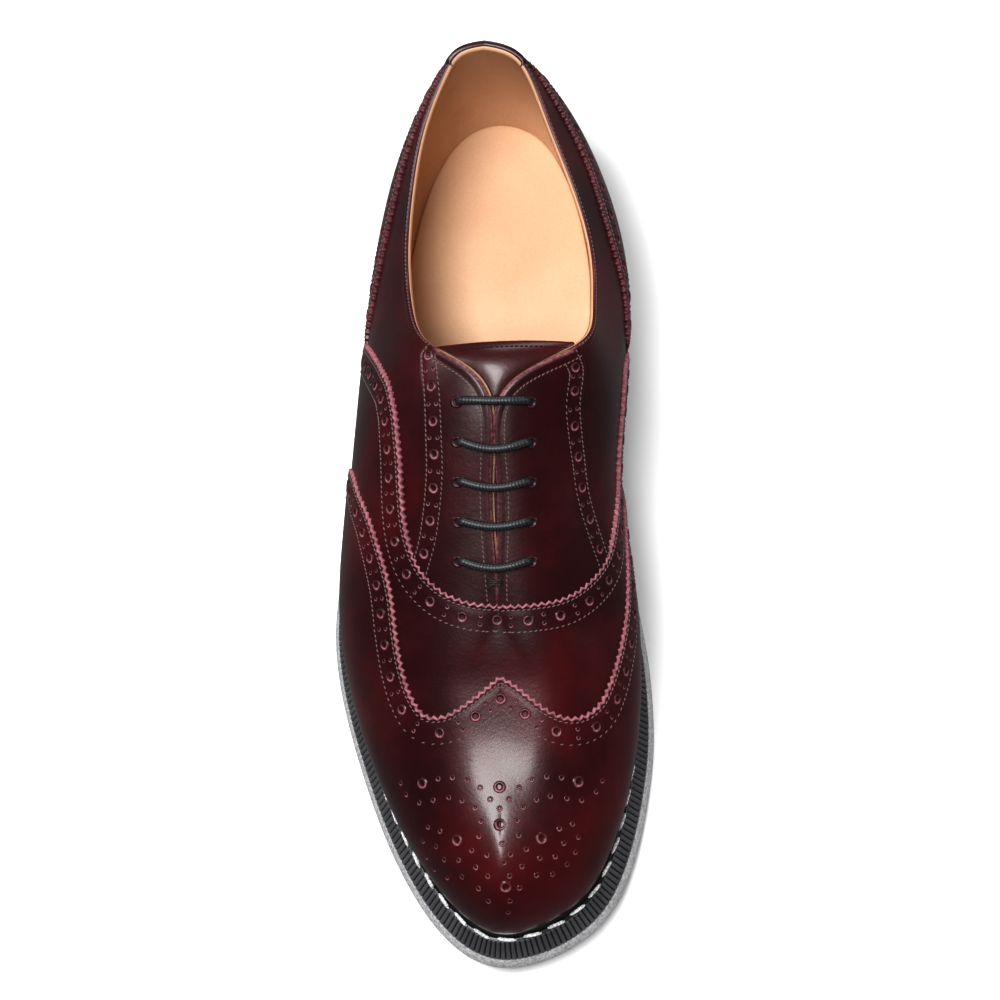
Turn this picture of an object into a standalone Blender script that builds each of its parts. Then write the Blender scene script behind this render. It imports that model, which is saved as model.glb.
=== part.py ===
import bpy
import bmesh
import numpy as np
from mathutils import Vector
from mathutils.geometry import delaunay_2d_cdt

# Driving dimensions, in metres
sole_length = 0.305
ball_width = 0.1106
feather_height = 0.0185
heel_lift = 0.0115
toe_spring = 0.0085
arch_height = 0.0115
instep_height = 0.1055
upper_wall = 0.0020
seat_gap = 0.0003

# Sole side: one section, drawn outwards from the feather line
toe_ledge = 0.0108
rib_pitch = 0.0021
rib_depth = 0.0005
edge_ease = 0.0004
tread_band_height = 0.0066
tread_round = 0.0012
welt_height = 0.0024
rib_top_share = 0.43
rib_foot_share = 0.80
tread_share = 0.93
rib_edge_share = 0.03
heel_block_length = 0.074
breast_run = 0.0030

# Side view of the sole: where its rises and falls start and how long they run, as shares of length
heel_fall_start = 0.20
heel_fall_run = 0.42
seat_spring_start = 0.66
tread_spring_start = 0.70
spring_power = 1.8
arch_start = 0.03
arch_run = 0.30

# Pieces laid on the upper
vamp_thickness = 0.0011
cap_thickness = 0.0020
counter_thickness = 0.0011
facing_thickness = 0.0010
tab_thickness = 0.0014
overlay_foot = 0.020
overlay_gap = 0.0004

# Pieces inside and on top
insole_thickness = 0.0030
tongue_thickness = 0.0016
tongue_crown = 0.085
tongue_gap = 0.0008
lace_diameter = 0.0028
lace_sag = 0.0024
eyelet_pitch = 0.0120
eyelet_spread = 0.0236
first_eyelet = 0.438
lace_bars = 5
lace_points = 9

# Tongue: stations of its two ends, and the level from which it lies under the facings
tongue_top = 7.25
tongue_foot = 11.5
tongue_level = 0.70

# Stations at which the upper is cut: every half, and quarters round the heel, at the throat and toe
quarter_spans = [(0.0, 1.5), (6.5, 8.75), (15.0, 16.0)]

# Fineness of the sole, and of the charts that overlays are drawn on
sole_steps = 38
level_spread = 5.0
seam_step = 0.27
end_clearance = 0.1
guide_clearance = 0.16
panel_gap = 0.03
weld = 0.000002

# Sole edge seen from above, heel (0) to toe (1): shares of the sole's length and ball width
edge_rows = np.array([
    # along, lateral, medial, ledge_lateral, ledge_medial
    (0.000, 0.009, 0.009, 0.72, 0.72),
    (0.018, -0.145, 0.165, 0.72, 0.72),
    (0.065, -0.254, 0.275, 0.72, 0.72),
    (0.130, -0.322, 0.345, 0.70, 0.72),
    (0.200, -0.360, 0.384, 0.68, 0.72),
    (0.270, -0.380, 0.396, 0.66, 0.72),
    (0.340, -0.392, 0.390, 0.65, 0.74),
    (0.410, -0.414, 0.382, 0.65, 0.76),
    (0.480, -0.452, 0.392, 0.65, 0.80),
    (0.550, -0.490, 0.425, 0.65, 0.84),
    (0.620, -0.504, 0.467, 0.66, 0.86),
    (0.690, -0.478, 0.492, 0.67, 0.86),
    (0.760, -0.425, 0.495, 0.69, 0.86),
    (0.830, -0.357, 0.470, 0.74, 0.88),
    (0.893, -0.278, 0.426, 0.84, 0.93),
    (0.962, -0.150, 0.308, 0.96, 0.98),
    (1.000, 0.054, 0.054, 1.00, 1.00),
])

# Top line of the upper: collar, facings, then the ridge down to the toe, where gap is zero
top_rows = np.array([
    # along, axis, gap_lateral, gap_medial, height_lateral, height_medial
    (0.024, -0.014, 0.000, 0.000, 0.930, 0.930),
    (0.030, -0.012, 0.068, 0.068, 0.928, 0.928),
    (0.055, -0.006, 0.134, 0.134, 0.900, 0.900),
    (0.110, -0.004, 0.200, 0.196, 0.838, 0.838),
    (0.180, 0.014, 0.254, 0.254, 0.790, 0.796),
    (0.250, 0.034, 0.284, 0.284, 0.777, 0.790),
    (0.315, 0.048, 0.279, 0.279, 0.830, 0.850),
    (0.365, 0.060, 0.240, 0.246, 0.935, 0.950),
    (0.397, 0.050, 0.120, 0.130, 0.995, 1.000),
    (0.440, 0.033, 0.016, 0.016, 0.980, 0.980),
    (0.520, 0.033, 0.016, 0.016, 0.875, 0.875),
    (0.600, 0.036, 0.014, 0.014, 0.775, 0.775),
    (0.660, 0.043, 0.000, 0.000, 0.690, 0.690),
    (0.720, 0.047, 0.000, 0.000, 0.622, 0.622),
    (0.780, 0.048, 0.000, 0.000, 0.580, 0.580),
    (0.830, 0.049, 0.000, 0.000, 0.548, 0.548),
    (0.862, 0.049, 0.000, 0.000, 0.530, 0.530),
])
first_ridge_row = 12
throat_row = 10

# Swell of the wall between the feather line and the top line; lengths as shares of ball width
wall_rows = np.array([
    # bulge_lateral, bulge_medial, rise, reach, lean, drop
    (0.075, 0.075, 0.34, 0.00, 0.040, 0.36),
    (0.078, 0.080, 0.34, 0.05, 0.045, 0.36),
    (0.084, 0.100, 0.34, 0.20, 0.055, 0.36),
    (0.092, 0.130, 0.34, 0.40, 0.062, 0.36),
    (0.105, 0.155, 0.34, 0.55, 0.062, 0.36),
    (0.118, 0.170, 0.34, 0.65, 0.060, 0.35),
    (0.130, 0.182, 0.36, 0.72, 0.055, 0.30),
    (0.132, 0.186, 0.38, 0.72, 0.045, 0.22),
    (0.124, 0.190, 0.40, 0.64, 0.030, 0.12),
    (0.114, 0.190, 0.42, 0.58, 0.015, 0.08),
    (0.108, 0.172, 0.44, 0.56, 0.000, 0.06),
    (0.104, 0.138, 0.46, 0.55, 0.000, 0.05),
    (0.096, 0.102, 0.48, 0.54, 0.000, 0.04),
    (0.082, 0.085, 0.50, 0.54, 0.000, 0.04),
    (0.060, 0.060, 0.52, 0.54, 0.000, 0.04),
    (0.045, 0.045, 0.54, 0.54, 0.000, 0.04),
    (0.040, 0.040, 0.54, 0.54, 0.000, 0.04),
])

# Seams on the upper: station (0 heel, 16 toe) and height up the wall (0 feather line, 1 top line)
wing_lateral = [(7.75, 0.00), (7.85, 0.25), (8.10, 0.36), (8.75, 0.44), (9.40, 0.51), (10.35, 0.58),
                (11.10, 0.582), (11.70, 0.587), (12.10, 0.60), (12.55, 0.64), (12.83, 0.725),
                (12.93, 0.83), (12.90, 0.925), (12.76, 1.00)]
wing_medial = [(7.75, 0.00), (7.90, 0.16), (8.30, 0.25), (9.10, 0.30), (9.90, 0.355), (10.65, 0.395),
               (11.10, 0.43), (11.65, 0.48), (12.10, 0.53), (12.45, 0.60), (12.76, 0.70),
               (12.86, 0.79), (12.86, 0.90), (12.76, 1.00)]
vamp_lateral = [(5.95, 0.00), (5.95, 0.50), (6.20, 0.60), (6.75, 0.71), (7.25, 0.74), (7.76, 0.718),
                (8.55, 0.668), (9.20, 0.651), (9.95, 0.672), (10.50, 0.718), (10.83, 0.77),
                (11.23, 0.865), (11.50, 0.955), (11.60, 1.00)]
vamp_medial = [(5.95, 0.00), (5.95, 0.38), (6.20, 0.45), (6.70, 0.455), (7.25, 0.41), (7.80, 0.37),
               (8.30, 0.345), (9.15, 0.40), (9.65, 0.46), (10.25, 0.566), (10.81, 0.70),
               (11.21, 0.84), (11.48, 0.945), (11.60, 1.00)]
counter_lateral = [(0.00, 0.84), (1.00, 0.85), (2.00, 0.88), (2.93, 0.87), (3.77, 0.78), (4.35, 0.71),
                   (5.00, 0.60), (5.45, 0.50), (5.72, 0.36), (5.80, 0.00)]
counter_medial = [(0.00, 0.84), (1.00, 0.85), (2.00, 0.84), (2.60, 0.76), (3.10, 0.71), (3.72, 0.715),
                  (4.22, 0.707), (4.67, 0.65), (5.10, 0.54), (5.60, 0.46), (5.75, 0.30), (5.80, 0.00)]
facing_lateral = [(7.25, 1.00), (7.40, 0.95), (8.00, 0.86), (8.87, 0.773), (9.60, 0.765), (9.90, 0.75),
                  (10.20, 0.742), (10.50, 0.745), (10.83, 0.797), (11.23, 0.892), (11.45, 1.00)]
facing_medial = [(7.35, 1.00), (7.45, 0.95), (7.75, 0.83), (8.45, 0.66), (9.10, 0.58), (9.45, 0.56),
                 (9.75, 0.55), (10.25, 0.60), (10.78, 0.73), (11.15, 0.865), (11.45, 1.00)]
tab_seam = [(0.00, 0.868), (0.90, 0.875), (1.65, 0.905), (1.75, 1.00)]

# Welt's section: share of the ledge, counted from the upper, and share of the welt's height
welt_section = [(0.044, 0.00), (0.044, 0.75), (0.10, 0.97), (0.21, 0.97), (0.31, 0.60), (0.31, 0.00)]

# Levels at which the upper is cut
wall_levels = (0.0, 0.11, 0.24, 0.39, 0.55, 0.72, 0.88, 1.0)

stations = len(edge_rows) - 1


def closed_spline(values):
    """Curve of second-order smoothness through the rows of a closed loop, one row per unit."""
    count = len(values)
    weights = (np.eye(count) * 4 + np.roll(np.eye(count), 1, 0) + np.roll(np.eye(count), -1, 0)) / 6
    control = np.linalg.solve(weights, values)

    def at(where):
        cell = np.floor(where).astype(int)
        part = (where - cell)[..., None]
        basis = ((1 - part) ** 3, 3 * part ** 3 - 6 * part ** 2 + 4,
                 -3 * part ** 3 + 3 * part ** 2 + 3 * part + 1, part ** 3)
        return sum(control[(cell + step) % count] * basis[step + 1] for step in (-1, 0, 1, 2)) / 6

    return at


def around(lateral, medial):
    """Rows of both sides as one loop: heel, lateral side, toe, medial side."""
    return np.concatenate([lateral, medial[-2:0:-1]])


def place(along):
    return sole_length * (0.5 - along)


edge_curve = closed_spline(around(
    np.stack([edge_rows[:, 1] * ball_width, place(edge_rows[:, 0]), edge_rows[:, 3]], 1),
    np.stack([edge_rows[:, 2] * ball_width, place(edge_rows[:, 0]), edge_rows[:, 4]], 1)))
top_curve = closed_spline(around(
    np.stack([top_rows[:, 1], top_rows[:, 2], place(top_rows[:, 0]), top_rows[:, 4]], 1),
    np.stack([top_rows[:, 1], top_rows[:, 3], place(top_rows[:, 0]), top_rows[:, 5]], 1)))
wall_curve = closed_spline(around(wall_rows[:, [0, 2, 3, 4, 5]], wall_rows[:, [1, 2, 3, 4, 5]]))

loop = np.linspace(0, 2 * stations, 721)[:-1]
edge_centre = ((edge_curve(loop).max(0) + edge_curve(loop).min(0)) / 2)[:2]
throat_axis = top_rows[throat_row, 1] * ball_width - edge_centre[0]


def feather_level(y):
    """Height of the feather line: raised at the heel, low at the ball, lifted at the toe."""
    along = 0.5 - y / sole_length
    heel = 1 - smoothstep((along - heel_fall_start) / heel_fall_run)
    toe = np.clip((along - seat_spring_start) / (1 - seat_spring_start), 0, 1) ** spring_power
    return feather_height + heel_lift * heel + toe_spring * toe


def bottom_level(y):
    """Height of the tread: flat heel, steep breast, arch that falls to the ball, toe spring."""
    along = 0.5 - y / sole_length
    breast = heel_block_length / sole_length
    past = smoothstep((along - breast) / (breast_run / sole_length))
    arch = 1 - smoothstep((along - breast - arch_start) / arch_run)
    toe = np.clip((along - tread_spring_start) / (1 - tread_spring_start), 0, 1) ** spring_power
    return arch_height * past * arch + toe_spring * toe


def smoothstep(value):
    value = np.clip(value, 0, 1)
    return value * value * (3 - 2 * value)


def side_of(where):
    """-1 on the lateral half of the loop, +1 on the medial half."""
    return np.where(np.mod(where, 2 * stations) <= stations, -1.0, 1.0)


def outward(where):
    """Unit normal of the sole's edge, seen from above."""
    step = 0.01
    along = edge_curve(where + step) - edge_curve(where - step)
    normal = np.stack([along[..., 1], -along[..., 0]], -1)
    return normal / np.linalg.norm(normal, axis=-1, keepdims=True)


def ledge(where):
    """Width of the sole that shows beyond the upper, widest at the toe."""
    return toe_ledge * edge_curve(where)[..., 2]


def rim(where, share, height):
    """Loop round the sole: share 0 lies on the feather line, share 1 on the outer edge."""
    inset = outward(where) * (ledge(where) * (1 - share))[..., None]
    flat = edge_curve(where)[..., :2] - edge_centre - inset
    return np.concatenate([flat, np.broadcast_to(height, flat.shape[:-1])[..., None]], -1)


def feather(where):
    spot = rim(where, 0.0, 0.0)
    spot[..., 2] = feather_level(spot[..., 1])
    return spot


def top_line(where):
    """Point of the collar, facing or ridge that the wall reaches at this station."""
    mirror = 2 * stations - where
    here = top_curve(where)
    row = np.minimum(np.mod(where, 2 * stations), np.mod(mirror, 2 * stations))
    on_ridge = (row >= first_ridge_row)[..., None]
    here = np.where(on_ridge, (here + top_curve(mirror)) / 2, here)
    gap = np.where(on_ridge[..., 0], 0, np.maximum(here[..., 1], 0))
    across = (here[..., 0] + side_of(where) * gap) * ball_width
    return np.stack([across - edge_centre[0], here[..., 2] - edge_centre[1],
                     here[..., 3] * instep_height], -1)


def wall(where, level):
    """Outer face of the upper: cubic arc from the feather line (level 0) to the top line (1)."""
    where, level = np.broadcast_arrays(np.asarray(where, float), np.asarray(level, float))
    low, high = feather(where), top_line(where)
    swell = wall_curve(where)
    bulge, rise, reach, lean, drop = (swell[..., i] for i in range(5))
    normal = np.concatenate([outward(where), np.zeros(where.shape + (1,))], -1)
    tall = (high - low)[..., 2]
    up = np.array([0, 0, 1.0])
    near = low + normal * (bulge * ball_width)[..., None] + up * (rise * tall)[..., None]
    flat = (low - high) * [1, 1, 0]
    far = (high + flat * reach[..., None] + normal * (lean * ball_width)[..., None]
           - up * (drop * tall)[..., None])
    part = level[..., None]
    return ((1 - part) ** 3 * low + 3 * (1 - part) ** 2 * part * near
            + 3 * (1 - part) * part ** 2 * far + part ** 3 * high)


quarters = np.arange(4 * stations + 1) / 4
fine_quarters = np.any([(quarters >= low) & (quarters <= high) for low, high in quarter_spans], axis=0)
side_columns = quarters[fine_quarters | (quarters * 2 % 1 == 0)]
columns = np.concatenate([side_columns, 2 * stations - side_columns[-2:0:-1]])


def clear_objects():
    for thing in list(bpy.data.objects):
        bpy.data.objects.remove(thing, do_unlink=True)


def finish(name, colour, roughness, metallic=0.0):
    """Principled material of one plain colour."""
    material = bpy.data.materials.new(name)
    material.use_nodes = True
    shader = material.node_tree.nodes["Principled BSDF"]
    shader.inputs["Base Color"].default_value = (*colour, 1)
    shader.inputs["Roughness"].default_value = roughness
    shader.inputs["Metallic"].default_value = metallic
    return material


def add_piece(name, verts, faces, material):
    """Object with welded corners and outward faces, smooth except at its sharp edges."""
    mesh = bpy.data.meshes.new(name)
    mesh.from_pydata(np.asarray(verts, float).tolist(), [], [list(face) for face in faces])
    body = bmesh.new()
    body.from_mesh(mesh)
    bmesh.ops.remove_doubles(body, verts=body.verts, dist=weld)
    bmesh.ops.recalc_face_normals(body, faces=body.faces)
    body.to_mesh(mesh)
    body.free()
    mesh.materials.append(material)
    mesh.shade_smooth()
    mesh.set_sharp_from_angle(angle=0.7)
    piece = bpy.data.objects.new(name, mesh)
    bpy.context.scene.collection.objects.link(piece)
    return piece


def ring_faces(first, second, count):
    """Quads between two closed rings of the same count."""
    return [(first + i, first + (i + 1) % count, second + (i + 1) % count, second + i)
            for i in range(count)]


def ladder_faces(start, count):
    """Strips across a closed ring whose first corner is the heel and middle one the toe."""
    half = count // 2
    faces = [(start, start + 1, start + count - 1), (start + half - 1, start + half, start + half + 1)]
    return faces + [(start + i, start + i + 1, start + count - i - 1, start + count - i)
                    for i in range(1, half - 1)]


def travelled(ring):
    """Share of the way round a closed ring at each corner, ending with 1."""
    step = np.linalg.norm(np.diff(np.vstack([ring, ring[:1]])[:, :2], axis=0), axis=1)
    return np.concatenate([[0], np.cumsum(step)]) / step.sum()


def zip_faces(fine_ring, fine_start, coarse_ring, coarse_start):
    """Triangles between two closed rings of different counts, each corner joined to the nearest."""
    many, count = len(fine_ring), len(coarse_ring)
    fine_way, coarse_way = travelled(fine_ring), travelled(coarse_ring)
    faces, i, j = [], 0, 0
    while i < many or j < count:
        fine_next = (fine_way[i] + fine_way[i + 1]) / 2 if i < many else 2
        coarse_next = (coarse_way[j] + coarse_way[j + 1]) / 2 if j < count else 2
        if fine_next <= coarse_next:
            faces.append((fine_start + i, fine_start + (i + 1) % many, coarse_start + j % count))
            i += 1
        else:
            faces.append((fine_start + i % many, coarse_start + (j + 1) % count, coarse_start + j))
            j += 1
    return faces


def even_stations(count):
    """Stations at even steps along the sole's edge."""
    way = travelled(edge_curve(loop))
    return np.interp(np.arange(count) / count, way, np.append(loop, 2 * stations))


def paired_stations(half):
    """Stations that lie in pairs across the sole, with three at the heel's breast."""
    spread = even_stations(2 * half)[:half + 1]
    spread[-1] = stations
    along = 0.5 - (edge_curve(spread)[:, 1] - edge_centre[1]) / sole_length
    places = (heel_block_length + np.array([0, 0.5, 1]) * breast_run) / sole_length
    breast = np.interp(places, along, spread)
    keep = spread[np.abs(spread[:, None] - breast).min(1) > 0.12]
    side = np.sort(np.concatenate([keep, breast]))
    return np.concatenate([side, 2 * stations - side[-2:0:-1]])


def seat_level(y):
    """Top face of the sole, on which welt, upper and insole rest."""
    return feather_level(y) - welt_height


def sole_ring(where, share, level, lift=0.0):
    """Ring round the sole whose height follows level(y)."""
    ring = rim(where, share, 0.0)
    ring[:, 2] = level(ring[:, 1]) + lift
    return ring


def stack_rings(rings):
    """Corners of all rings and the index at which each ring starts."""
    starts = np.cumsum([0] + [len(ring) for ring in rings[:-1]]).tolist()
    return np.concatenate(rings), starts


def make_outsole(material):
    """Unit sole: seat, ribbed band that slants outwards, smooth tread band, heel block and arch."""
    edge = edge_curve(np.append(loop, 0))[:, :2]
    ribs = int(round(np.linalg.norm(np.diff(edge, axis=0), axis=1).sum() / rib_pitch))
    fine, coarse = even_stations(2 * ribs), paired_stations(sole_steps)
    valley = outward(fine) * (np.arange(2 * ribs) % 2 * rib_depth)[:, None]
    rings = [sole_ring(coarse, rib_top_share, seat_level),
             sole_ring(fine, rib_top_share + rib_edge_share, seat_level, -edge_ease),
             sole_ring(fine, rib_foot_share, bottom_level, tread_band_height),
             sole_ring(coarse, rib_foot_share + rib_edge_share, bottom_level,
                       tread_band_height - edge_ease),
             sole_ring(coarse, 1.0, bottom_level, tread_round),
             sole_ring(coarse, tread_share, bottom_level)]
    rings[1][:, :2] -= valley
    rings[2][:, :2] -= valley
    verts, starts = stack_rings(rings)
    count = len(coarse)
    faces = ladder_faces(starts[0], count) + ladder_faces(starts[5], count)
    faces += zip_faces(rings[1], starts[1], rings[0], starts[0])
    faces += ring_faces(starts[1], starts[2], len(fine))
    faces += zip_faces(rings[2], starts[2], rings[3], starts[3])
    faces += ring_faces(starts[3], starts[4], count) + ring_faces(starts[4], starts[5], count)
    return add_piece("outsole", verts, faces, material)


def make_welt(material):
    """Rounded strip beside the upper, all round the sole."""
    tall = welt_height - seat_gap
    rings = [sole_ring(columns, share, seat_level, seat_gap + tall * height)
             for share, height in welt_section]
    verts, starts = stack_rings(rings)
    faces = []
    for k, start in enumerate(starts):
        faces += ring_faces(start, starts[(k + 1) % len(starts)], len(columns))
    return add_piece("welt", verts, faces, material)


def make_insole(material):
    """Flat board on the sole, inside the wall of the upper."""
    rings = []
    for lift in (seat_gap, seat_gap + insole_thickness):
        ring = rim(columns, 0.0, 0.0)
        ring[:, :2] -= outward(columns) * (upper_wall + 2 * seat_gap)
        ring[:, 2] = seat_level(ring[:, 1]) + lift
        rings.append(ring)
    verts, starts = stack_rings(rings)
    count = len(columns)
    faces = ladder_faces(0, count) + ladder_faces(starts[1], count) + ring_faces(0, starts[1], count)
    return add_piece("insole", verts, faces, material)


def weld_points(verts, faces):
    """Corners at one place become one corner, and faces that fold to a line go."""
    keys = np.round(verts / weld).astype(np.int64)
    _, first, back = np.unique(keys, axis=0, return_index=True, return_inverse=True)
    order = np.argsort(first)
    rank = np.argsort(order)
    back = rank[back.reshape(-1)]
    welded = [list(dict.fromkeys(back[list(face)].tolist())) for face in faces]
    welded = [face for face in welded if len(face) > 2]
    used = np.unique(np.concatenate(welded))
    spot = {old: new for new, old in enumerate(used.tolist())}
    return verts[first[order]][used], [[spot[corner] for corner in face] for face in welded]


def thicken(verts, faces, low, high, upright=0):
    """Closed wall between two distances from a skin; its first corners may move sideways only."""
    normals = np.zeros_like(verts)
    for face in faces:
        spots = verts[face]
        normals[face] += np.cross(spots[1] - spots[0], spots[-1] - spots[0])
    middle = np.array([0, verts[:, 1].mean(), feather_height])
    if (normals * (verts - middle)).sum() < 0:
        normals, faces = -normals, [face[::-1] for face in faces]
    normals[:upright, 2] = 0
    normals /= np.linalg.norm(normals, axis=1, keepdims=True)
    count = len(verts)
    sides = {(a, b) for face in faces for a, b in zip(face, face[1:] + face[:1])}
    border = sorted((a, b) for a, b in sides if (b, a) not in sides)
    solid = [[corner + count for corner in face] for face in faces]
    solid += [face[::-1] for face in faces]
    solid += [[b + count, a + count, a, b] for a, b in border]
    return np.concatenate([verts + normals * low, verts + normals * high]), solid


def make_upper(material):
    """Hollow upper: one wall from the sole's seat to the collar, the throat and the ridge."""
    rings = [wall(columns, np.full(len(columns), level)) for level in wall_levels]
    foot = rings[0].copy()
    foot[:, 2] -= welt_height - seat_gap
    verts, starts = stack_rings([foot] + rings)
    faces = []
    for first, second in zip(starts, starts[1:]):
        faces += ring_faces(first, second, len(columns))
    verts, faces = weld_points(verts, faces)
    verts, faces = thicken(verts, faces, -upper_wall, 0.0, upright=len(columns))
    return add_piece("upper", verts, faces, material)


def seam_curve(rows):
    """Smooth curve through a seam's rows, in stations and levels."""
    rows = np.clip(rows, [0, overlay_foot], [stations, 1])
    steps = np.concatenate([[0], np.cumsum(np.hypot(*(np.diff(rows, axis=0) * [1, level_spread]).T))])
    slopes = np.gradient(rows, steps, axis=0)
    at = np.linspace(0, steps[-1], int(steps[-1] / seam_step) + 2)
    cell = np.clip(np.searchsorted(steps, at, side="right") - 1, 0, len(rows) - 2)
    span = (steps[cell + 1] - steps[cell])[:, None]
    part = (at - steps[cell])[:, None] / span
    return (rows[cell] * (1 + 2 * part) * (1 - part) ** 2 + rows[cell + 1] * part ** 2 * (3 - 2 * part)
            + slopes[cell] * span * part * (1 - part) ** 2
            + slopes[cell + 1] * span * part ** 2 * (part - 1))


def over_toe(seam, medial=False):
    """Seam on the chart that is flat over the toe: station, and girth from the ridge outwards."""
    girth = (1 - np.clip(seam[:, 1], overlay_foot, 1)) * level_spread
    return np.column_stack([seam[:, 0], girth if medial else -girth])


def from_toe_chart(spots):
    """Station round the loop and level of points on the chart over the toe."""
    medial = spots[:, 1] > 0
    return (np.where(medial, 2 * stations - spots[:, 0], spots[:, 0]),
            1 - np.abs(spots[:, 1]) / level_spread)


def round_heel(seam, medial=False):
    """Seam on the chart that is flat round the heel: signed station, and level."""
    side = 1 if medial else -1
    return np.column_stack([side * seam[:, 0], np.clip(seam[:, 1], overlay_foot, 1) * level_spread])


def from_heel_chart(spots):
    """Station round the loop and level of points on the chart round the heel."""
    return np.mod(-spots[:, 0], 2 * stations), spots[:, 1] / level_spread


def inside(points, outline):
    """True for points in a closed outline, by counting the edges that they see to one side."""
    start, end = outline, np.roll(outline, -1, 0)
    x, y = points[:, 0, None], points[:, 1, None]
    spans = (start[:, 1] > y) != (end[:, 1] > y)
    rise = np.where(end[:, 1] == start[:, 1], 1, end[:, 1] - start[:, 1])
    cross = start[:, 0] + (y - start[:, 1]) / rise * (end[:, 0] - start[:, 0])
    return (spans & (x < cross)).sum(1) % 2 == 1


def make_overlay(name, outline, to_wall, guides, thickness, material):
    """Piece laid on the upper: its outline on a chart, carried on to the upper's own face."""
    apart = np.linalg.norm(guides[:, None] - outline[None], axis=2).min(1)
    inner = guides[inside(guides, outline) & (apart > guide_clearance)]
    points = [Vector(spot) for spot in np.concatenate([outline, inner]).tolist()]
    flat, _, faces = delaunay_2d_cdt(points, [], [list(range(len(outline)))], 1, 1e-6)[:3]
    where, level = to_wall(np.array([tuple(spot) for spot in flat]))
    verts, faces = weld_points(wall(where, level), faces)
    verts, faces = thicken(verts, faces, overlay_gap, overlay_gap + thickness)
    return add_piece(name, verts, faces, material)


def shift(path, distance):
    """Path moved sideways on its chart."""
    along = np.gradient(path, axis=0)
    side = np.column_stack([along[:, 1], -along[:, 0]])
    moved = path + side / np.linalg.norm(side, axis=1, keepdims=True) * distance
    moved[[0, -1], 1] = path[[0, -1], 1]
    return moved


def foot_line(start, end, medial):
    """Lower edge of an overlay on the chart over the toe, at the upper's own columns."""
    spots = side_columns[(side_columns > start + end_clearance) & (side_columns < end - end_clearance)]
    return over_toe(np.column_stack([spots, np.full(len(spots), overlay_foot)]), medial)


def toe_guides():
    levels = [level for level in wall_levels if level > overlay_foot]
    girth = np.array([1 - level for level in levels]) * level_spread
    girth = np.unique(np.concatenate([-girth, girth]))
    return np.stack(np.meshgrid(side_columns, girth, indexing="ij"), -1).reshape(-1, 2)


def heel_guides():
    levels = np.array(wall_levels[1:]) * level_spread
    spots = np.concatenate([-side_columns[:0:-1], side_columns])
    return np.stack(np.meshgrid(spots, levels, indexing="ij"), -1).reshape(-1, 2)


def make_toe_overlays(material):
    """Wing cap over the toe, and the vamp between it and the throat."""
    wings = over_toe(seam_curve(wing_lateral)), over_toe(seam_curve(wing_medial), True)
    vamps = over_toe(seam_curve(vamp_lateral)), over_toe(seam_curve(vamp_medial), True)
    wing = np.concatenate([wings[0], wings[1][-2::-1]])
    throat = np.concatenate([vamps[0], vamps[1][-2::-1]])
    toe_levels = [level for level in wall_levels if level > overlay_foot]
    toe_edge = np.column_stack([np.full(len(toe_levels) + 1, stations), [overlay_foot] + toe_levels])
    toe_line = np.concatenate([over_toe(toe_edge, True), over_toe(toe_edge)[-2::-1]])
    cap = np.concatenate([wing, foot_line(wing[-1, 0], stations, True), toe_line,
                          foot_line(wing[0, 0], stations, False)[::-1]])
    edge = shift(wing, -panel_gap)
    vamp = np.concatenate([throat, foot_line(throat[-1, 0], edge[-1, 0], True), edge[::-1],
                           foot_line(throat[0, 0], edge[0, 0], False)[::-1]])
    make_overlay("wing_cap", cap, from_toe_chart, toe_guides(), cap_thickness, material)
    make_overlay("vamp", vamp, from_toe_chart, toe_guides(), vamp_thickness, material)


def make_heel_overlays(material):
    """Heel counter, tab at the back of the collar, and the two facings beside the throat."""
    guides = heel_guides()
    spots = side_columns[side_columns < counter_lateral[-1][0] - end_clearance]
    spots = np.concatenate([spots[::-1], -spots[1:]])
    foot = np.column_stack([spots, np.full(len(spots), overlay_foot * level_spread)])
    counter = np.concatenate([round_heel(seam_curve(counter_lateral))[::-1],
                              round_heel(seam_curve(counter_medial), True)[1:], foot])
    make_overlay("heel_counter", counter, from_heel_chart, guides, counter_thickness, material)
    spots = side_columns[side_columns < tab_seam[-1][0] - end_clearance]
    spots = np.concatenate([spots[::-1], -spots[1:]])
    collar = np.column_stack([spots, np.full(len(spots), level_spread)])
    tab = np.concatenate([round_heel(seam_curve(tab_seam))[::-1],
                          round_heel(seam_curve(tab_seam), True)[1:], collar])
    make_overlay("heel_tab", tab, from_heel_chart, guides, tab_thickness, material)
    for name, rows, medial in (("facing_lateral", facing_lateral, False),
                               ("facing_medial", facing_medial, True)):
        spots = side_columns[(side_columns > rows[0][0] + end_clearance)
                             & (side_columns < rows[-1][0] - end_clearance)][::-1]
        throat = round_heel(np.column_stack([spots, np.ones(len(spots))]), medial)
        outline = np.concatenate([round_heel(seam_curve(rows), medial), throat])
        make_overlay(name, outline, from_heel_chart, guides, facing_thickness, material)


def make_tongue(material):
    """Tongue under the facings: it follows their inner face and arches across the throat."""
    where = side_columns[(side_columns >= tongue_top) & (side_columns <= tongue_foot)]
    side_levels = [level for level in wall_levels if level > tongue_level]
    lateral = [wall(where, np.full(len(where), level)) for level in side_levels]
    medial = [wall(2 * stations - where, np.full(len(where), level)) for level in side_levels]
    left, right = lateral[-1], medial[-1]
    width = np.linalg.norm(right - left, axis=1)
    arch = []
    for share in (0.25, 0.5, 0.75):
        row = left + (right - left) * share
        row[:, 2] += width * tongue_crown * 4 * share * (1 - share)
        arch.append(row)
    rows = lateral + arch + medial[::-1]
    count = len(where)
    faces = [[k * count + i, k * count + i + 1, (k + 1) * count + i + 1, (k + 1) * count + i]
             for k in range(len(rows) - 1) for i in range(count - 1)]
    under = upper_wall + tongue_gap
    verts, faces = thicken(np.concatenate(rows), faces, -under - tongue_thickness, -under)
    return add_piece("tongue", verts, faces, material)


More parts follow.
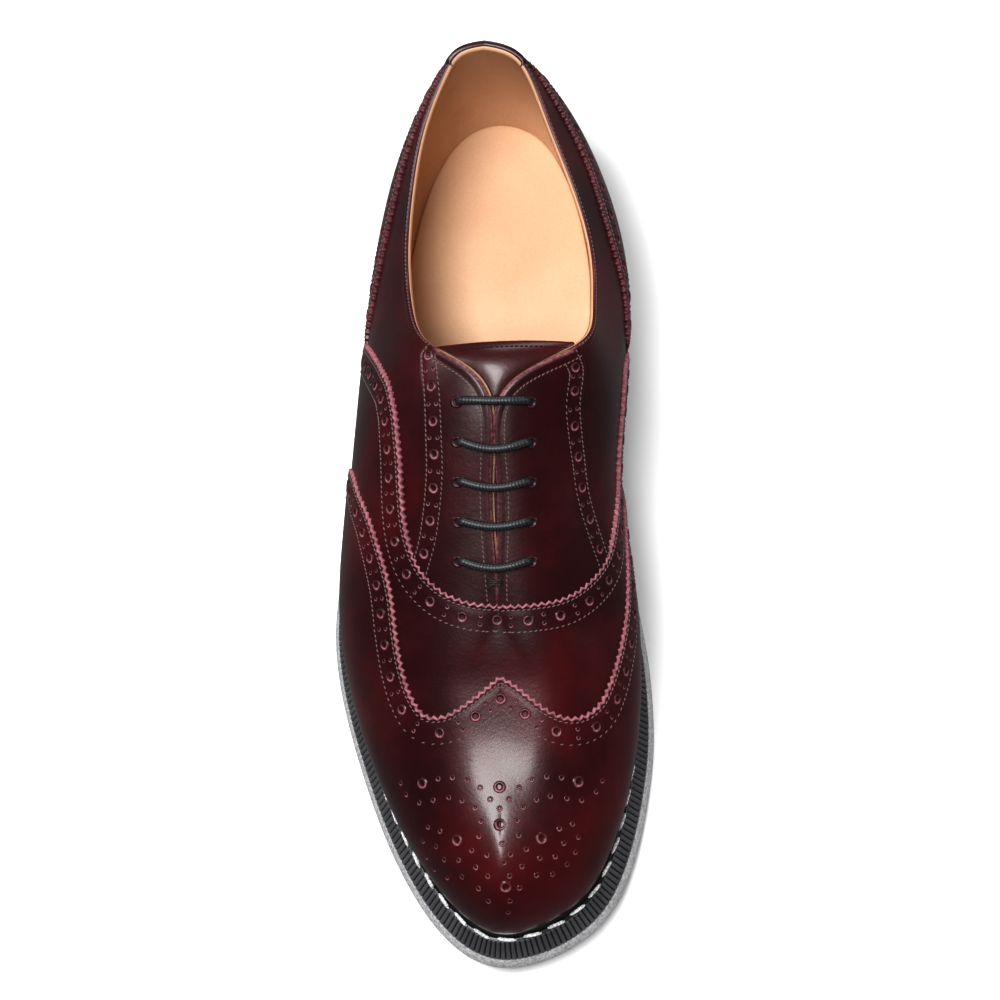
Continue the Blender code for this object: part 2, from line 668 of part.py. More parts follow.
def height_at(x, y):
    """Height of the upper's face above points beside the throat, by Newton steps on the wall."""
    medial = x > throat_axis
    along = 0.5 - (y + edge_centre[1]) / sole_length
    station = np.interp(along, top_rows[:, 0], np.arange(stations + 1))
    where = np.where(medial, 2 * stations - station, station)
    level = np.full(len(x), 0.9)
    step = 1e-4
    for _ in range(12):
        here = wall(where, level)
        across = (wall(where + step, level) - here) / step
        upwards = (here - wall(where, level - step)) / step
        miss = np.stack([x - here[:, 0], y - here[:, 1]], 1)
        area = across[:, 0] * upwards[:, 1] - across[:, 1] * upwards[:, 0]
        where = where + (miss[:, 0] * upwards[:, 1] - miss[:, 1] * upwards[:, 0]) / area
        level = level + (across[:, 0] * miss[:, 1] - across[:, 1] * miss[:, 0]) / area
        level = np.clip(level, 0.3, 1)
    return wall(where, level)[:, 2]


def make_lace_bar(number, material):
    """Straight bar of the lace: a round cord from eyelet to eyelet that sags towards the toe."""
    share = np.linspace(0, 1, lace_points)
    x = throat_axis + (share - 0.5) * eyelet_spread
    y = place(first_eyelet) - edge_centre[1] - number * eyelet_pitch - lace_sag * 4 * share * (1 - share)
    lift = overlay_gap + facing_thickness + seat_gap + lace_diameter / 2
    z = height_at(x, y) + lift
    middle = lace_points // 2
    z[middle] = max(z[middle - 1], z[middle + 1])
    z[[0, -1]] += seat_gap
    curve = bpy.data.curves.new(f"lace_bar_{number + 1}", "CURVE")
    curve.dimensions = "3D"
    curve.bevel_depth = lace_diameter / 2
    curve.bevel_resolution = 1
    curve.use_fill_caps = True
    spline = curve.splines.new("POLY")
    spline.points.add(len(x) - 1)
    for point, spot in zip(spline.points, np.column_stack([x, y, z])):
        point.co = (*spot, 1)
    curve.materials.append(material)
    piece = bpy.data.objects.new(curve.name, curve)
    bpy.context.scene.collection.objects.link(piece)
    return piece


def main():
    clear_objects()
    oxblood = finish("oxblood_leather", (0.085, 0.012, 0.014), 0.22)
    rubber = finish("grey_sole", (0.055, 0.056, 0.062), 0.5)
    black = finish("black_welt", (0.012, 0.012, 0.013), 0.35)
    natural = finish("natural_leather", (0.62, 0.34, 0.18), 0.55)
    cord = finish("waxed_cord", (0.03, 0.03, 0.035), 0.55)
    make_outsole(rubber)
    make_welt(black)
    make_upper(oxblood)
    make_insole(natural)
    make_tongue(oxblood)
    make_toe_overlays(oxblood)
    make_heel_overlays(oxblood)
    for number in range(lace_bars):
        make_lace_bar(number, cord)


main()
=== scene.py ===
import bmesh
import bpy
import numpy as np
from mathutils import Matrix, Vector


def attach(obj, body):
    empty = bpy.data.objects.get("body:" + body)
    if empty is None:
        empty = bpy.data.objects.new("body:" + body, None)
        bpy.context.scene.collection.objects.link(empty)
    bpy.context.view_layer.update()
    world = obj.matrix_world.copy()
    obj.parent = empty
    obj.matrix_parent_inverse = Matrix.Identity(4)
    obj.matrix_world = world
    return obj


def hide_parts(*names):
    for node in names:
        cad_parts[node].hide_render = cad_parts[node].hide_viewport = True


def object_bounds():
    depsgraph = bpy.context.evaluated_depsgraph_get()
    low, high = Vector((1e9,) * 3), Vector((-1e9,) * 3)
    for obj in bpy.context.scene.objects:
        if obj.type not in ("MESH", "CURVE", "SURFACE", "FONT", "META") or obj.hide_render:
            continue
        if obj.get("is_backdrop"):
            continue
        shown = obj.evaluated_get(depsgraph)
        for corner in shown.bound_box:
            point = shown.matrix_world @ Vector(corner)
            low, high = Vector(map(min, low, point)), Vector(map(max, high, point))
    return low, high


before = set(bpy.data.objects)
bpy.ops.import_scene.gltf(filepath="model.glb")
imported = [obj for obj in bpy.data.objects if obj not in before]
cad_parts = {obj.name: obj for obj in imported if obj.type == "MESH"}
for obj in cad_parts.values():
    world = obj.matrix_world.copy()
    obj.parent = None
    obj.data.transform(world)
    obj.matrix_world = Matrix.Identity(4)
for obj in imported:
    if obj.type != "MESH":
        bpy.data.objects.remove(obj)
first_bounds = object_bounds()

# Quarters
# The two rear sides of the upper: polished calf over a last, closed at the throat and rolled in
# at the collar. Every other panel is laid on the same curved face, so its shape is set here.
sole_length = 0.305
ball_width = 0.1106
feather_height = 0.0185
heel_lift = 0.0115
toe_spring = 0.0085
arch_height = 0.0115
instep_height = 0.1055
toe_ledge = 0.0116
quarter_height = 0.0001
facing_height = 0.0011
collar_stitch_inset = 0.0021
stitch_pitch = 0.0016
level_spread = 5.0
last_station = 16
round_trip = 2 * last_station
collar_end = 7.3
throat_end = 11.6
ridge_reach = 0.23
ridge_start = 11.6
ridge_fade = 14.4

# Sole edge seen from above, heel (0) to toe (1): shares of the sole's length and ball width
edge_rows = np.array([
    # along, lateral, medial, ledge_lateral, ledge_medial
    (0.000, 0.009, 0.009, 0.72, 0.72),
    (0.018, -0.145, 0.165, 0.72, 0.72),
    (0.065, -0.254, 0.275, 0.72, 0.72),
    (0.130, -0.322, 0.345, 0.70, 0.72),
    (0.200, -0.360, 0.384, 0.68, 0.72),
    (0.270, -0.380, 0.396, 0.66, 0.72),
    (0.340, -0.392, 0.390, 0.65, 0.74),
    (0.410, -0.414, 0.382, 0.66, 0.73),
    (0.480, -0.452, 0.392, 0.68, 0.76),
    (0.550, -0.490, 0.425, 0.70, 0.79),
    (0.620, -0.504, 0.467, 0.72, 0.80),
    (0.690, -0.478, 0.492, 0.72, 0.81),
    (0.760, -0.425, 0.495, 0.73, 0.82),
    (0.830, -0.357, 0.470, 0.78, 0.86),
    (0.893, -0.278, 0.426, 0.86, 0.92),
    (0.962, -0.150, 0.308, 0.96, 0.98),
    (1.000, 0.054, 0.054, 1.00, 1.00),
])

# Top line of the upper: collar, facings, then the ridge down to the toe, where gap is zero
top_rows = np.array([
    # along, axis, gap_lateral, gap_medial, height_lateral, height_medial
    (0.024, -0.014, 0.000, 0.000, 0.930, 0.930),
    (0.030, -0.012, 0.068, 0.068, 0.928, 0.928),
    (0.055, -0.006, 0.134, 0.134, 0.900, 0.900),
    (0.110, -0.004, 0.200, 0.196, 0.838, 0.838),
    (0.180, 0.014, 0.254, 0.254, 0.790, 0.796),
    (0.250, 0.034, 0.284, 0.284, 0.777, 0.790),
    (0.315, 0.048, 0.279, 0.279, 0.830, 0.850),
    (0.365, 0.060, 0.240, 0.246, 0.935, 0.950),
    (0.397, 0.050, 0.120, 0.130, 0.995, 1.000),
    (0.440, 0.033, 0.013, 0.013, 0.980, 0.980),
    (0.520, 0.033, 0.011, 0.011, 0.875, 0.875),
    (0.600, 0.036, 0.004, 0.004, 0.775, 0.775),
    (0.660, 0.043, 0.000, 0.000, 0.690, 0.690),
    (0.720, 0.047, 0.000, 0.000, 0.615, 0.615),
    (0.780, 0.048, 0.000, 0.000, 0.561, 0.561),
    (0.832, 0.049, 0.000, 0.000, 0.538, 0.538),
    (0.868, 0.049, 0.000, 0.000, 0.528, 0.528),
])
first_ridge_row = 12
throat_row = 10

# Swell of the wall between the feather line and the top line; lengths as shares of ball width
wall_rows = np.array([
    # bulge_lateral, bulge_medial, rise, reach, lean, drop
    (0.075, 0.075, 0.34, 0.00, 0.040, 0.36),
    (0.078, 0.080, 0.34, 0.05, 0.045, 0.36),
    (0.084, 0.100, 0.34, 0.20, 0.055, 0.36),
    (0.092, 0.130, 0.34, 0.40, 0.062, 0.36),
    (0.105, 0.155, 0.34, 0.55, 0.062, 0.36),
    (0.118, 0.170, 0.34, 0.65, 0.060, 0.35),
    (0.130, 0.182, 0.36, 0.72, 0.055, 0.30),
    (0.132, 0.186, 0.38, 0.72, 0.045, 0.22),
    (0.124, 0.190, 0.40, 0.64, 0.030, 0.12),
    (0.102, 0.190, 0.42, 0.58, 0.015, 0.08),
    (0.090, 0.170, 0.44, 0.56, 0.000, 0.06),
    (0.084, 0.134, 0.46, 0.55, 0.000, 0.05),
    (0.076, 0.094, 0.47, 0.60, 0.000, 0.02),
    (0.062, 0.072, 0.48, 0.64, 0.000, 0.01),
    (0.044, 0.048, 0.49, 0.69, 0.000, 0.00),
    (0.028, 0.028, 0.50, 0.72, 0.000, 0.00),
    (0.022, 0.022, 0.50, 0.72, 0.000, 0.00),
])

# Soft hollows and swells that handwork leaves in the leather: place, reach and height in metres
relief_rows = np.array([
    # x, y, z, reach_x, reach_y, height
    (-0.022, -0.040, 0.058, 0.016, 0.007, -0.00045),
    (0.026, -0.046, 0.056, 0.014, 0.006, -0.00040),
    (0.008, -0.064, 0.060, 0.024, 0.007, -0.00022),
    (0.006, -0.055, 0.062, 0.026, 0.007, 0.00018),
    (-0.026, 0.004, 0.075, 0.008, 0.020, -0.00045),
    (0.033, 0.006, 0.072, 0.008, 0.022, -0.00040),
    (-0.040, 0.045, 0.050, 0.010, 0.026, 0.00035),
    (0.036, 0.050, 0.050, 0.010, 0.024, 0.00035),
    (-0.016, -0.098, 0.050, 0.014, 0.014, 0.00025),
    (0.024, -0.090, 0.050, 0.012, 0.016, 0.00020),
])


def smoothstep(value):
    """0 below 0, 1 above 1 and 3 v^2 - 2 v^3 between."""
    value = np.clip(value, 0, 1)
    return value * value * (3 - 2 * value)


def closed_spline(values):
    """Closed cubic B-spline through the rows, one row per unit: control = (4, 1, 1)/6 solved."""
    count = len(values)
    weights = (np.eye(count) * 4 + np.roll(np.eye(count), 1, 0) + np.roll(np.eye(count), -1, 0)) / 6
    control = np.linalg.solve(weights, values)

    def at(where):
        cell = np.floor(where).astype(int)
        part = (where - cell)[..., None]
        basis = ((1 - part) ** 3, 3 * part ** 3 - 6 * part ** 2 + 4,
                 -3 * part ** 3 + 3 * part ** 2 + 3 * part + 1, part ** 3)
        return sum(control[(cell + step) % count] * basis[step + 1] for step in (-1, 0, 1, 2)) / 6

    return at


def around(lateral, medial):
    """Rows of both sides as one loop: heel, lateral side, toe, medial side."""
    return np.concatenate([lateral, medial[-2:0:-1]])


def place(along):
    """Place along the shoe of a share of the sole's length, counted from the heel."""
    return sole_length * (0.5 - along)


edge_curve = closed_spline(around(
    np.stack([edge_rows[:, 1] * ball_width, place(edge_rows[:, 0]), edge_rows[:, 3]], 1),
    np.stack([edge_rows[:, 2] * ball_width, place(edge_rows[:, 0]), edge_rows[:, 4]], 1)))
top_curve = closed_spline(around(
    np.stack([top_rows[:, 1], top_rows[:, 2], place(top_rows[:, 0]), top_rows[:, 4]], 1),
    np.stack([top_rows[:, 1], top_rows[:, 3], place(top_rows[:, 0]), top_rows[:, 5]], 1)))
wall_curve = closed_spline(around(wall_rows[:, [0, 2, 3, 4, 5]], wall_rows[:, [1, 2, 3, 4, 5]]))
loop = np.linspace(0, round_trip, 721)[:-1]
edge_centre = ((edge_curve(loop).max(0) + edge_curve(loop).min(0)) / 2)[:2]
throat_axis = top_rows[throat_row, 1] * ball_width - edge_centre[0]


def feather_level(y):
    """Height of the feather line: raised at the heel, low at the ball, lifted at the toe."""
    along = 0.5 - y / sole_length
    return (feather_height + heel_lift * (1 - smoothstep((along - 0.20) / 0.42))
            + toe_spring * np.clip((along - 0.66) / 0.34, 0, 1) ** 1.8)


def outward(where):
    """Unit normal of the sole's edge, seen from above."""
    along = edge_curve(where + 0.01) - edge_curve(where - 0.01)
    normal = np.stack([along[..., 1], -along[..., 0]], -1)
    return normal / np.linalg.norm(normal, axis=-1, keepdims=True)


def rim(where, share):
    """Loop round the sole in plan: share 0 on the feather line, share 1 on the outer edge."""
    ledge = toe_ledge * edge_curve(where)[..., 2]
    flat = edge_curve(where)[..., :2] - edge_centre - outward(where) * (ledge * (1 - share))[..., None]
    return np.concatenate([flat, np.zeros(flat.shape[:-1] + (1,))], -1)


def top_line(where):
    """Point of the collar, facing or ridge at this station."""
    mirror = round_trip - where
    here = top_curve(where)
    row = np.minimum(np.mod(where, round_trip), np.mod(mirror, round_trip))
    on_ridge = (row >= first_ridge_row)[..., None]
    here = np.where(on_ridge, (here + top_curve(mirror)) / 2, here)
    gap = np.where(on_ridge[..., 0], 0, np.maximum(here[..., 1], 0))
    side = np.where(np.mod(where, round_trip) <= last_station, -1.0, 1.0)
    across = (here[..., 0] + side * gap) * ball_width
    return np.stack([across - edge_centre[0], here[..., 2] - edge_centre[1],
                     here[..., 3] * instep_height], -1)


def wall(where, level):
    """Cubic arc (1-t)^3 low + 3(1-t)^2 t near + 3(1-t) t^2 far + t^3 high, t the level."""
    where, level = np.broadcast_arrays(np.asarray(where, float), np.asarray(level, float))
    low, high = rim(where, 0.0), top_line(where)
    low[..., 2] = feather_level(low[..., 1])
    bulge, rise, reach, lean, drop = np.moveaxis(wall_curve(where), -1, 0)
    normal = np.concatenate([outward(where), np.zeros(where.shape + (1,))], -1)
    tall = (high - low)[..., 2]
    up = np.array([0, 0, 1.0])
    near = low + normal * (bulge * ball_width)[..., None] + up * (rise * tall)[..., None]
    far = (high + (low - high) * [1, 1, 0] * reach[..., None]
           + normal * (lean * ball_width)[..., None] - up * (drop * tall)[..., None])
    part = level[..., None]
    return ((1 - part) ** 3 * low + 3 * (1 - part) ** 2 * part * near
            + 3 * (1 - part) * part ** 2 * far + part ** 3 * high)


def rounded_wall(where, level):
    """Wall with a rounded ridge: mean over levels across the ridge, weights cos^2(pi step / 2)."""
    where, level = np.broadcast_arrays(np.asarray(where, float), np.asarray(level, float))
    result = wall(where, level)
    station = np.minimum(np.mod(where, round_trip), np.mod(-where, round_trip))
    reach = (ridge_reach * smoothstep(station - ridge_start) * (1 - smoothstep((1 - level) / 0.6))
             * (1 - smoothstep((station - ridge_fade) / (last_station - ridge_fade))))
    near = reach > 1e-6
    step = np.linspace(-1, 1, 15)[1:-1]
    weight = np.cos(step * np.pi / 2) ** 2
    depth = 1 - level[near][:, None] + reach[near][:, None] * step
    across = np.where(depth < 0, -where[near][:, None], where[near][:, None])
    result[near] = (wall(across, 1 - np.abs(depth)) * weight[:, None]).sum(1) / weight.sum()
    return result


def on_loop(spots):
    """Chart of the whole wall: station round the loop, level."""
    return spots[..., 0], spots[..., 1]


def on_heel(spots):
    """Chart flat round the heel: signed station, lateral below zero, and level."""
    return np.mod(-spots[..., 0], round_trip), spots[..., 1] / level_spread


def unit(vectors):
    """Each vector divided by its own length."""
    return vectors / np.maximum(np.linalg.norm(vectors, axis=-1, keepdims=True), 1e-12)


def shoe_core(point):
    """Middle of the shoe near a point: on its long axis, 35 mm above the ground."""
    return point * [0, 0.85, 0] + [0, 0, 0.035]


def frame_at(chart, spots, step=0.004):
    """Point, tangents along both chart axes and outward normal, by central differences."""
    point = rounded_wall(*chart(spots))
    first, second = ((rounded_wall(*chart(spots + shift)) - rounded_wall(*chart(spots - shift)))
                     / (2 * step) for shift in (np.array([step, 0.0]), np.array([0.0, step])))
    normal = unit(np.cross(first, second))
    away = point - shoe_core(point)
    return point, first, second, np.where((normal * away).sum(-1, keepdims=True) < 0, -normal, normal)


def relief(point):
    """Sum of bells height * exp(-(dx/reach_x)^2 - (dy/reach_y)^2 - (dz/0.02)^2)."""
    total = 0
    for x, y, z, reach_x, reach_y, height in relief_rows:
        total = total + height * np.exp(-((point[..., 0] - x) / reach_x) ** 2
                                        - ((point[..., 1] - y) / reach_y) ** 2
                                        - ((point[..., 2] - z) / 0.02) ** 2)
    return total


def lasted(level):
    """Share of a panel's height that is left where it is pulled tight under the last."""
    return 0.30 + 0.70 * smoothstep(level / 0.10)


def raised(chart, spots, height):
    """Points at a height above the leather's face, less at the foot."""
    point, _, _, normal = frame_at(chart, spots)
    return point + normal * (height * lasted(chart(spots)[1]) + relief(point))[..., None]


def walk(chart, spots, target, only=(1, 1, 1)):
    """Chart spots nearest the target points: Gauss-Newton steps on the wall's two tangents."""
    spots = spots.copy()
    for _ in range(3):
        point, first, second, _ = frame_at(chart, spots)
        miss = (target - point) * only
        first, second = first * only, second * only
        aa, ab, bb = (first * first).sum(-1), (first * second).sum(-1), (second * second).sum(-1)
        am, bm = (first * miss).sum(-1), (second * miss).sum(-1)
        area = np.maximum(aa * bb - ab * ab, 1e-14)
        spots = spots + np.stack([am * bb - bm * ab, bm * aa - am * ab], -1) / area[..., None]
    return spots


def arc_length(points):
    """Distance along a line of points from its start to each of them."""
    return np.concatenate([[0], np.cumsum(np.linalg.norm(np.diff(points, axis=0), axis=1))])


def read_off(at, way, rows):
    """Columns of the rows read off at distances along their line."""
    return np.stack([np.interp(at, way, column) for column in rows.T], -1)


def smooth_path(rows, count=600):
    """Cubic Hermite curve through a seam's rows, slopes taken from the neighbouring rows."""
    rows = np.array(rows, float)
    steps = arc_length(rows)
    slopes = np.gradient(rows, steps, axis=0)
    at = np.linspace(0, steps[-1], count)
    cell = np.clip(np.searchsorted(steps, at, side="right") - 1, 0, len(rows) - 2)
    span = (steps[cell + 1] - steps[cell])[:, None]
    part = (at - steps[cell])[:, None] / span
    return (rows[cell] * (1 + 2 * part) * (1 - part) ** 2 + rows[cell + 1] * part ** 2 * (3 - 2 * part)
            + slopes[cell] * span * part * (1 - part) ** 2
            + slopes[cell + 1] * span * part ** 2 * (part - 1))


class Seam:
    """A panel's edge on the upper: chart spots at even steps and the ways into the panel."""

    def __init__(self, chart, rows, side, limit=(-5.0, 5.0)):
        self.chart = chart
        self.limit = limit
        path = smooth_path(rows)
        point = rounded_wall(*chart(path))
        way = arc_length(point)
        self.length = way[-1]
        self.run = np.linspace(0, self.length, int(self.length / 0.0008) + 2)
        self.spots = read_off(self.run, way, path)
        point, _, _, normal = frame_at(chart, self.spots)
        self.inward = np.cross(normal, unit(np.gradient(point, axis=0))) * side

    def spots_at(self, run, inset):
        """Chart spots at distances along the seam and into the panel."""
        run, inset = np.broadcast_arrays(run, inset)
        start = read_off(run, self.run, self.spots)
        inward = unit(read_off(run, self.run, self.inward))
        target = rounded_wall(*self.chart(start)) + inward * inset[..., None]
        spots = walk(self.chart, start, target)
        spots[..., 1] = np.clip(spots[..., 1], *self.limit)
        return spots


def quads_of(index, copies=1):
    """Quads between the neighbours in a grid of corner numbers, again for each further copy."""
    quad = np.stack([index[:-1, :-1], index[1:, :-1], index[1:, 1:], index[:-1, 1:]], -1).reshape(-1, 4)
    return (quad[None] + np.arange(copies)[:, None, None] * (index.max() + 1)).reshape(-1, 4)


def grid_part(points, raw=0.0, painted_shade=0.0, keep=None, core=None, way=1):
    """Corners, quads and the two tints of a grid of points; keep drops the other corners' quads.

    The quads face away from the core, which is the shoe's middle unless one is given; with way -1
    they face it.
    """
    quads = quads_of(np.arange(points[..., 0].size).reshape(points.shape[:2]))
    if core is None:
        core = shoe_core(points)
    flat, core = points.reshape(-1, 3), np.broadcast_to(core, points.shape).reshape(-1, 3)
    facing = np.cross(flat[quads[:, 2]] - flat[quads[:, 0]], flat[quads[:, 3]] - flat[quads[:, 1]])
    if (facing * (flat - core)[quads].mean(1)).sum() * way < 0:
        quads = quads[:, ::-1]
    if keep is not None:
        quads = quads[keep.reshape(-1)[quads].all(1)]
    tints = [np.broadcast_to(tint, points.shape[:2]).reshape(-1) for tint in (raw, painted_shade)]
    return points.reshape(-1, 3), quads, *tints


def add_piece(name, parts, material, slot, *nodes):
    """One smooth mesh of several parts, with its tints as the attributes raw and painted_shade, the latter
    painted shade in holes, grooves and braid.
    """
    starts = np.cumsum([0] + [len(part[0]) for part in parts])
    verts = np.concatenate([part[0] for part in parts])
    quads = np.concatenate([part[1] + start for part, start in zip(parts, starts)])
    used, back = np.unique(quads, return_inverse=True)
    quads = back.reshape(quads.shape)
    mesh = bpy.data.meshes.new(name)
    mesh.vertices.add(len(used))
    mesh.vertices.foreach_set("co", verts[used].astype(np.float32).reshape(-1))
    mesh.loops.add(quads.size)
    mesh.loops.foreach_set("vertex_index", quads.astype(np.int32).reshape(-1))
    mesh.polygons.add(len(quads))
    mesh.polygons.foreach_set("loop_start", np.arange(0, quads.size, 4, dtype=np.int32))
    mesh.polygons.foreach_set("loop_total", np.full(len(quads), 4, dtype=np.int32))
    mesh.update(calc_edges=True)
    for key, column in (("raw", 2), ("painted_shade", 3)):
        tint = np.concatenate([part[column] for part in parts])[used].astype(np.float32)
        mesh.attributes.new(key, "FLOAT", "POINT").data.foreach_set("value", tint)
    welded = bmesh.new()
    welded.from_mesh(mesh)
    bmesh.ops.remove_doubles(welded, verts=welded.verts, dist=0.00001)
    welded.to_mesh(mesh)
    welded.free()
    mesh.shade_smooth()
    mesh.materials.append(material)
    piece = bpy.data.objects.new(name, mesh)
    bpy.context.scene.collection.objects.link(piece)
    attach(piece, "root")
    if nodes:
        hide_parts(*nodes)
    return piece


class Term:
    """One value in a material: arithmetic on it adds Math nodes to the material's tree."""

    def __init__(self, tree, socket):
        self.tree = tree
        self.socket = socket

    def node(self, kind, settings=None, values=None, output=0):
        """Term for an output of a new node, given its settings and its values or links."""
        node = self.tree.nodes.new(kind)
        for key, value in (settings or {}).items():
            setattr(node, key, value)
        for key, value in (values or {}).items():
            if isinstance(value, Term):
                self.tree.links.new(value.socket, node.inputs[key])
            else:
                node.inputs[key].default_value = value
        return Term(self.tree, node.outputs[output])

    def maths(self, operation, first, second):
        """Term for a Math node on two values."""
        return self.node("ShaderNodeMath", {"operation": operation}, {0: first, 1: second})

    def at_least(self, low):
        return self.maths("MAXIMUM", self, low)

    def __add__(self, other):
        return self.maths("ADD", self, other)

    __radd__ = __add__

    def __sub__(self, other):
        return self.maths("SUBTRACT", self, other)

    def __rsub__(self, other):
        return self.maths("SUBTRACT", other, self)

    def __mul__(self, other):
        return self.maths("MULTIPLY", self, other)

    __rmul__ = __mul__

    def ramp(self, low, high):
        """0 below low, 1 above high, smooth between."""
        return self.node("ShaderNodeMapRange", {"interpolation_type": "SMOOTHSTEP"},
                         {"Value": self, "From Min": low, "From Max": high})

    def blend(self, first, second):
        """Colour that goes from first to second as this value goes from 0 to 1."""
        first, second = ((*colour, 1.0) if isinstance(colour, tuple) else colour
                         for colour in (first, second))
        return self.node("ShaderNodeMix", {"data_type": "RGBA"}, {0: self, 6: first, 7: second}, output=2)

    def noise(self, place, scale, detail=3.0, roughness=0.5):
        """Cloudy noise of this scale, fixed to the piece."""
        return self.node("ShaderNodeTexNoise", {}, {"Vector": place, "Scale": scale, "Detail": detail,
                                                    "Roughness": roughness})

    def own_place(self):
        """Object coordinates of the piece."""
        return self.node("ShaderNodeTexCoord", output=3)

    def tint(self, name):
        """The piece's attribute of this name."""
        return self.node("ShaderNodeAttribute", {"attribute_name": name}, output=2)

    def bump(self, height, strength, distance):
        """Normal tilted by a height."""
        return self.node("ShaderNodeBump", {}, {"Height": height, "Strength": strength,
                                                "Distance": distance})


def material_of(name, **constants):
    """Principled material with constant inputs; gives it, its shader and a Term to build on."""
    material = bpy.data.materials.new(name)
    material.use_nodes = True
    shader = material.node_tree.nodes["Principled BSDF"]
    for key, value in constants.items():
        socket = shader.inputs[key.replace("_", " ").replace("Ior", "IOR")]
        socket.default_value = (*value, 1.0) if isinstance(value, tuple) else value
    return material, shader, Term(material.node_tree, None)


def drive(term, shader, name):
    """Let a term feed one of the shader's inputs."""
    term.tree.links.new(term.socket, shader.inputs[name])


def leather(name, deep, glow, raw_colour):
    """Polished calf: deep patches that clear to red, raw colour where cut, the same raw colour as painted
    highlights on hole lips and rolled edges, painted shade on hole floors, and a fine grain.
    """
    material, shader, base = material_of(name, Coat_Roughness=0.16, Coat_Ior=1.4, IOR=1.42,
                                         Specular_Ior_Level=0.40)
    place = base.own_place()
    patches = base.noise(place, 19.0, 2.0, 0.5)
    cloud = base.noise(place, 120.0, 4.0, 0.6)
    polished = (patches * 0.8 + cloud * 0.2).ramp(0.395, 0.715).blend(deep, glow)
    raw, painted_shade = base.tint("raw"), base.tint("painted_shade")
    speck = base.noise(place, 700.0, 3.0, 0.6)
    # Raw colour where cut, and painted highlights where the raw tint marks hole lips and rolled edges.
    cut_and_highlight = (raw * (0.45 + speck)).ramp(0.10, 0.95)
    fibres = speck.ramp(0.35, 0.65).blend(tuple(0.6 * part for part in raw_colour), raw_colour)
    cut = cut_and_highlight.blend(polished, fibres)
    # Painted shade: the painted_shade tint turns the colour near black on hole and eyelet floors.
    drive(painted_shade.blend(cut, tuple(0.25 * part for part in glow)), shader, "Base Color")
    drive(0.30 + 0.20 * raw + 0.30 * painted_shade + 0.08 * cloud, shader, "Roughness")
    drive((0.26 - 0.24 * raw - 0.26 * painted_shade).at_least(0.0), shader, "Coat Weight")
    pebble = base.node("ShaderNodeTexVoronoi", {"feature": "SMOOTH_F1"},
                       {"Vector": place, "Scale": 1100.0})
    wrinkle = base.noise(place, 420.0, 3.0)
    drive(base.bump(pebble * 0.5 + wrinkle * 0.8, 0.6, 0.00008), shader, "Normal")
    return material


def stitches_on(point, along, across, normal, lift, length=0.00130, width=0.00052):
    """Short rounded stitches: u along, v across, 0.3 mm * (1 - u^4)(1 - v^2) high."""
    u, v = np.meshgrid(np.linspace(-1, 1, 6), np.linspace(-1, 1, 5), indexing="ij")
    narrow = np.sqrt(1 - 0.85 * u ** 2)
    bulge = (1 - u ** 4) * (1 - v ** 2) * 0.00030 - 0.00005
    point, along, across, normal = (ways[:, None, None] for ways in (point, along, across, normal))
    verts = (point + along * (u * length / 2)[..., None] + across * (v * narrow * width / 2)[..., None]
             + normal * (bulge[..., None] + lift))
    flat = np.zeros(len(point) * u.size)
    return verts.reshape(-1, 3), quads_of(np.arange(u.size).reshape(u.shape), len(point)), flat, flat


def stitch_row(seam, inset, height, start=0.0, end=0.0, slant=0.22):
    """Slanted stitches at an even pitch along a seam, at one distance into the panel."""
    run = np.arange(start + stitch_pitch / 2, seam.length - end, stitch_pitch)
    spots = seam.spots_at(run, inset)
    point, _, _, normal = frame_at(seam.chart, spots)
    ahead = rounded_wall(*seam.chart(seam.spots_at(run + 0.0006, inset))) - point
    along = unit(ahead - normal * (ahead * normal).sum(-1, keepdims=True))
    across = np.cross(normal, along)
    lift = (height * lasted(seam.chart(spots)[1]) + relief(point))[:, None, None, None]
    return stitches_on(point, unit(along + across * slant), unit(across - along * slant), normal, lift)


# Grid of the whole wall, about one corner per millimetre
grid_spots = np.stack(np.meshgrid(np.linspace(0, round_trip, 721), np.linspace(0, 1, 86),
                                  indexing="ij"), -1)
grid_point, _, _, grid_normal = frame_at(on_loop, grid_spots)
grid_lift = relief(grid_point)[..., None] * grid_normal
grid_station = np.minimum(grid_spots[..., 0], round_trip - grid_spots[..., 0])
grid_side = np.where(grid_spots[..., 0] <= last_station, -1.0, 1.0)

oxblood = leather("oxblood_leather", (0.023, 0.0025, 0.0038), (0.068, 0.0050, 0.0062),
                  (0.34, 0.145, 0.165))
thread_material = material_of("upper_thread", Base_Color=(0.13, 0.088, 0.086), Roughness=0.6)[0]

quarter_keep = (grid_station < 12.0) & ((grid_station > 3.2) | (grid_spots[..., 1] > 0.70))
collar_where = np.concatenate([np.linspace(round_trip - throat_end, round_trip, 420),
                               np.linspace(0, throat_end, 420)[1:]])
collar_station = np.minimum(collar_where, round_trip - collar_where)
on_facing = smoothstep((collar_station - 7.2) / 0.35)
rolled = np.array([
    # back, out, over, raw: outer half of the rolled edge; the raw column is a painted highlight line along
    # its crown
    (0.0028, 0.00002, 0.0000, 0.00),
    (0.0020, 0.00012, 0.0000, 0.00),
    (0.0012, 0.00025, 0.0000, 0.10),
    (0.0005, 0.00026, 0.0000, 0.35),
    (0.0000, 0.00000, 0.0001, 0.60),
    (0.0000, -0.00045, 0.0004, 0.75),
    (0.0000, -0.00095, 0.0004, 0.55),
])


def collar_rows(profile, where, height):
    """Rows of points along the top line, each set back, out and over by the profile's columns."""
    spots = np.stack([where, np.ones_like(where)], -1)
    point, _, upward, _ = frame_at(on_loop, spots, step=0.003)
    upward = unit(upward)
    rows = []
    for back, out, over in profile[:, :3]:
        low = walk(on_loop, spots, point - upward * back) if back else spots
        low[..., 0] = where
        base, _, _, normal = frame_at(on_loop, low, step=0.003)
        rows.append(base + normal * (height + out + relief(base))[:, None] + upward * over)
    return np.stack(rows)


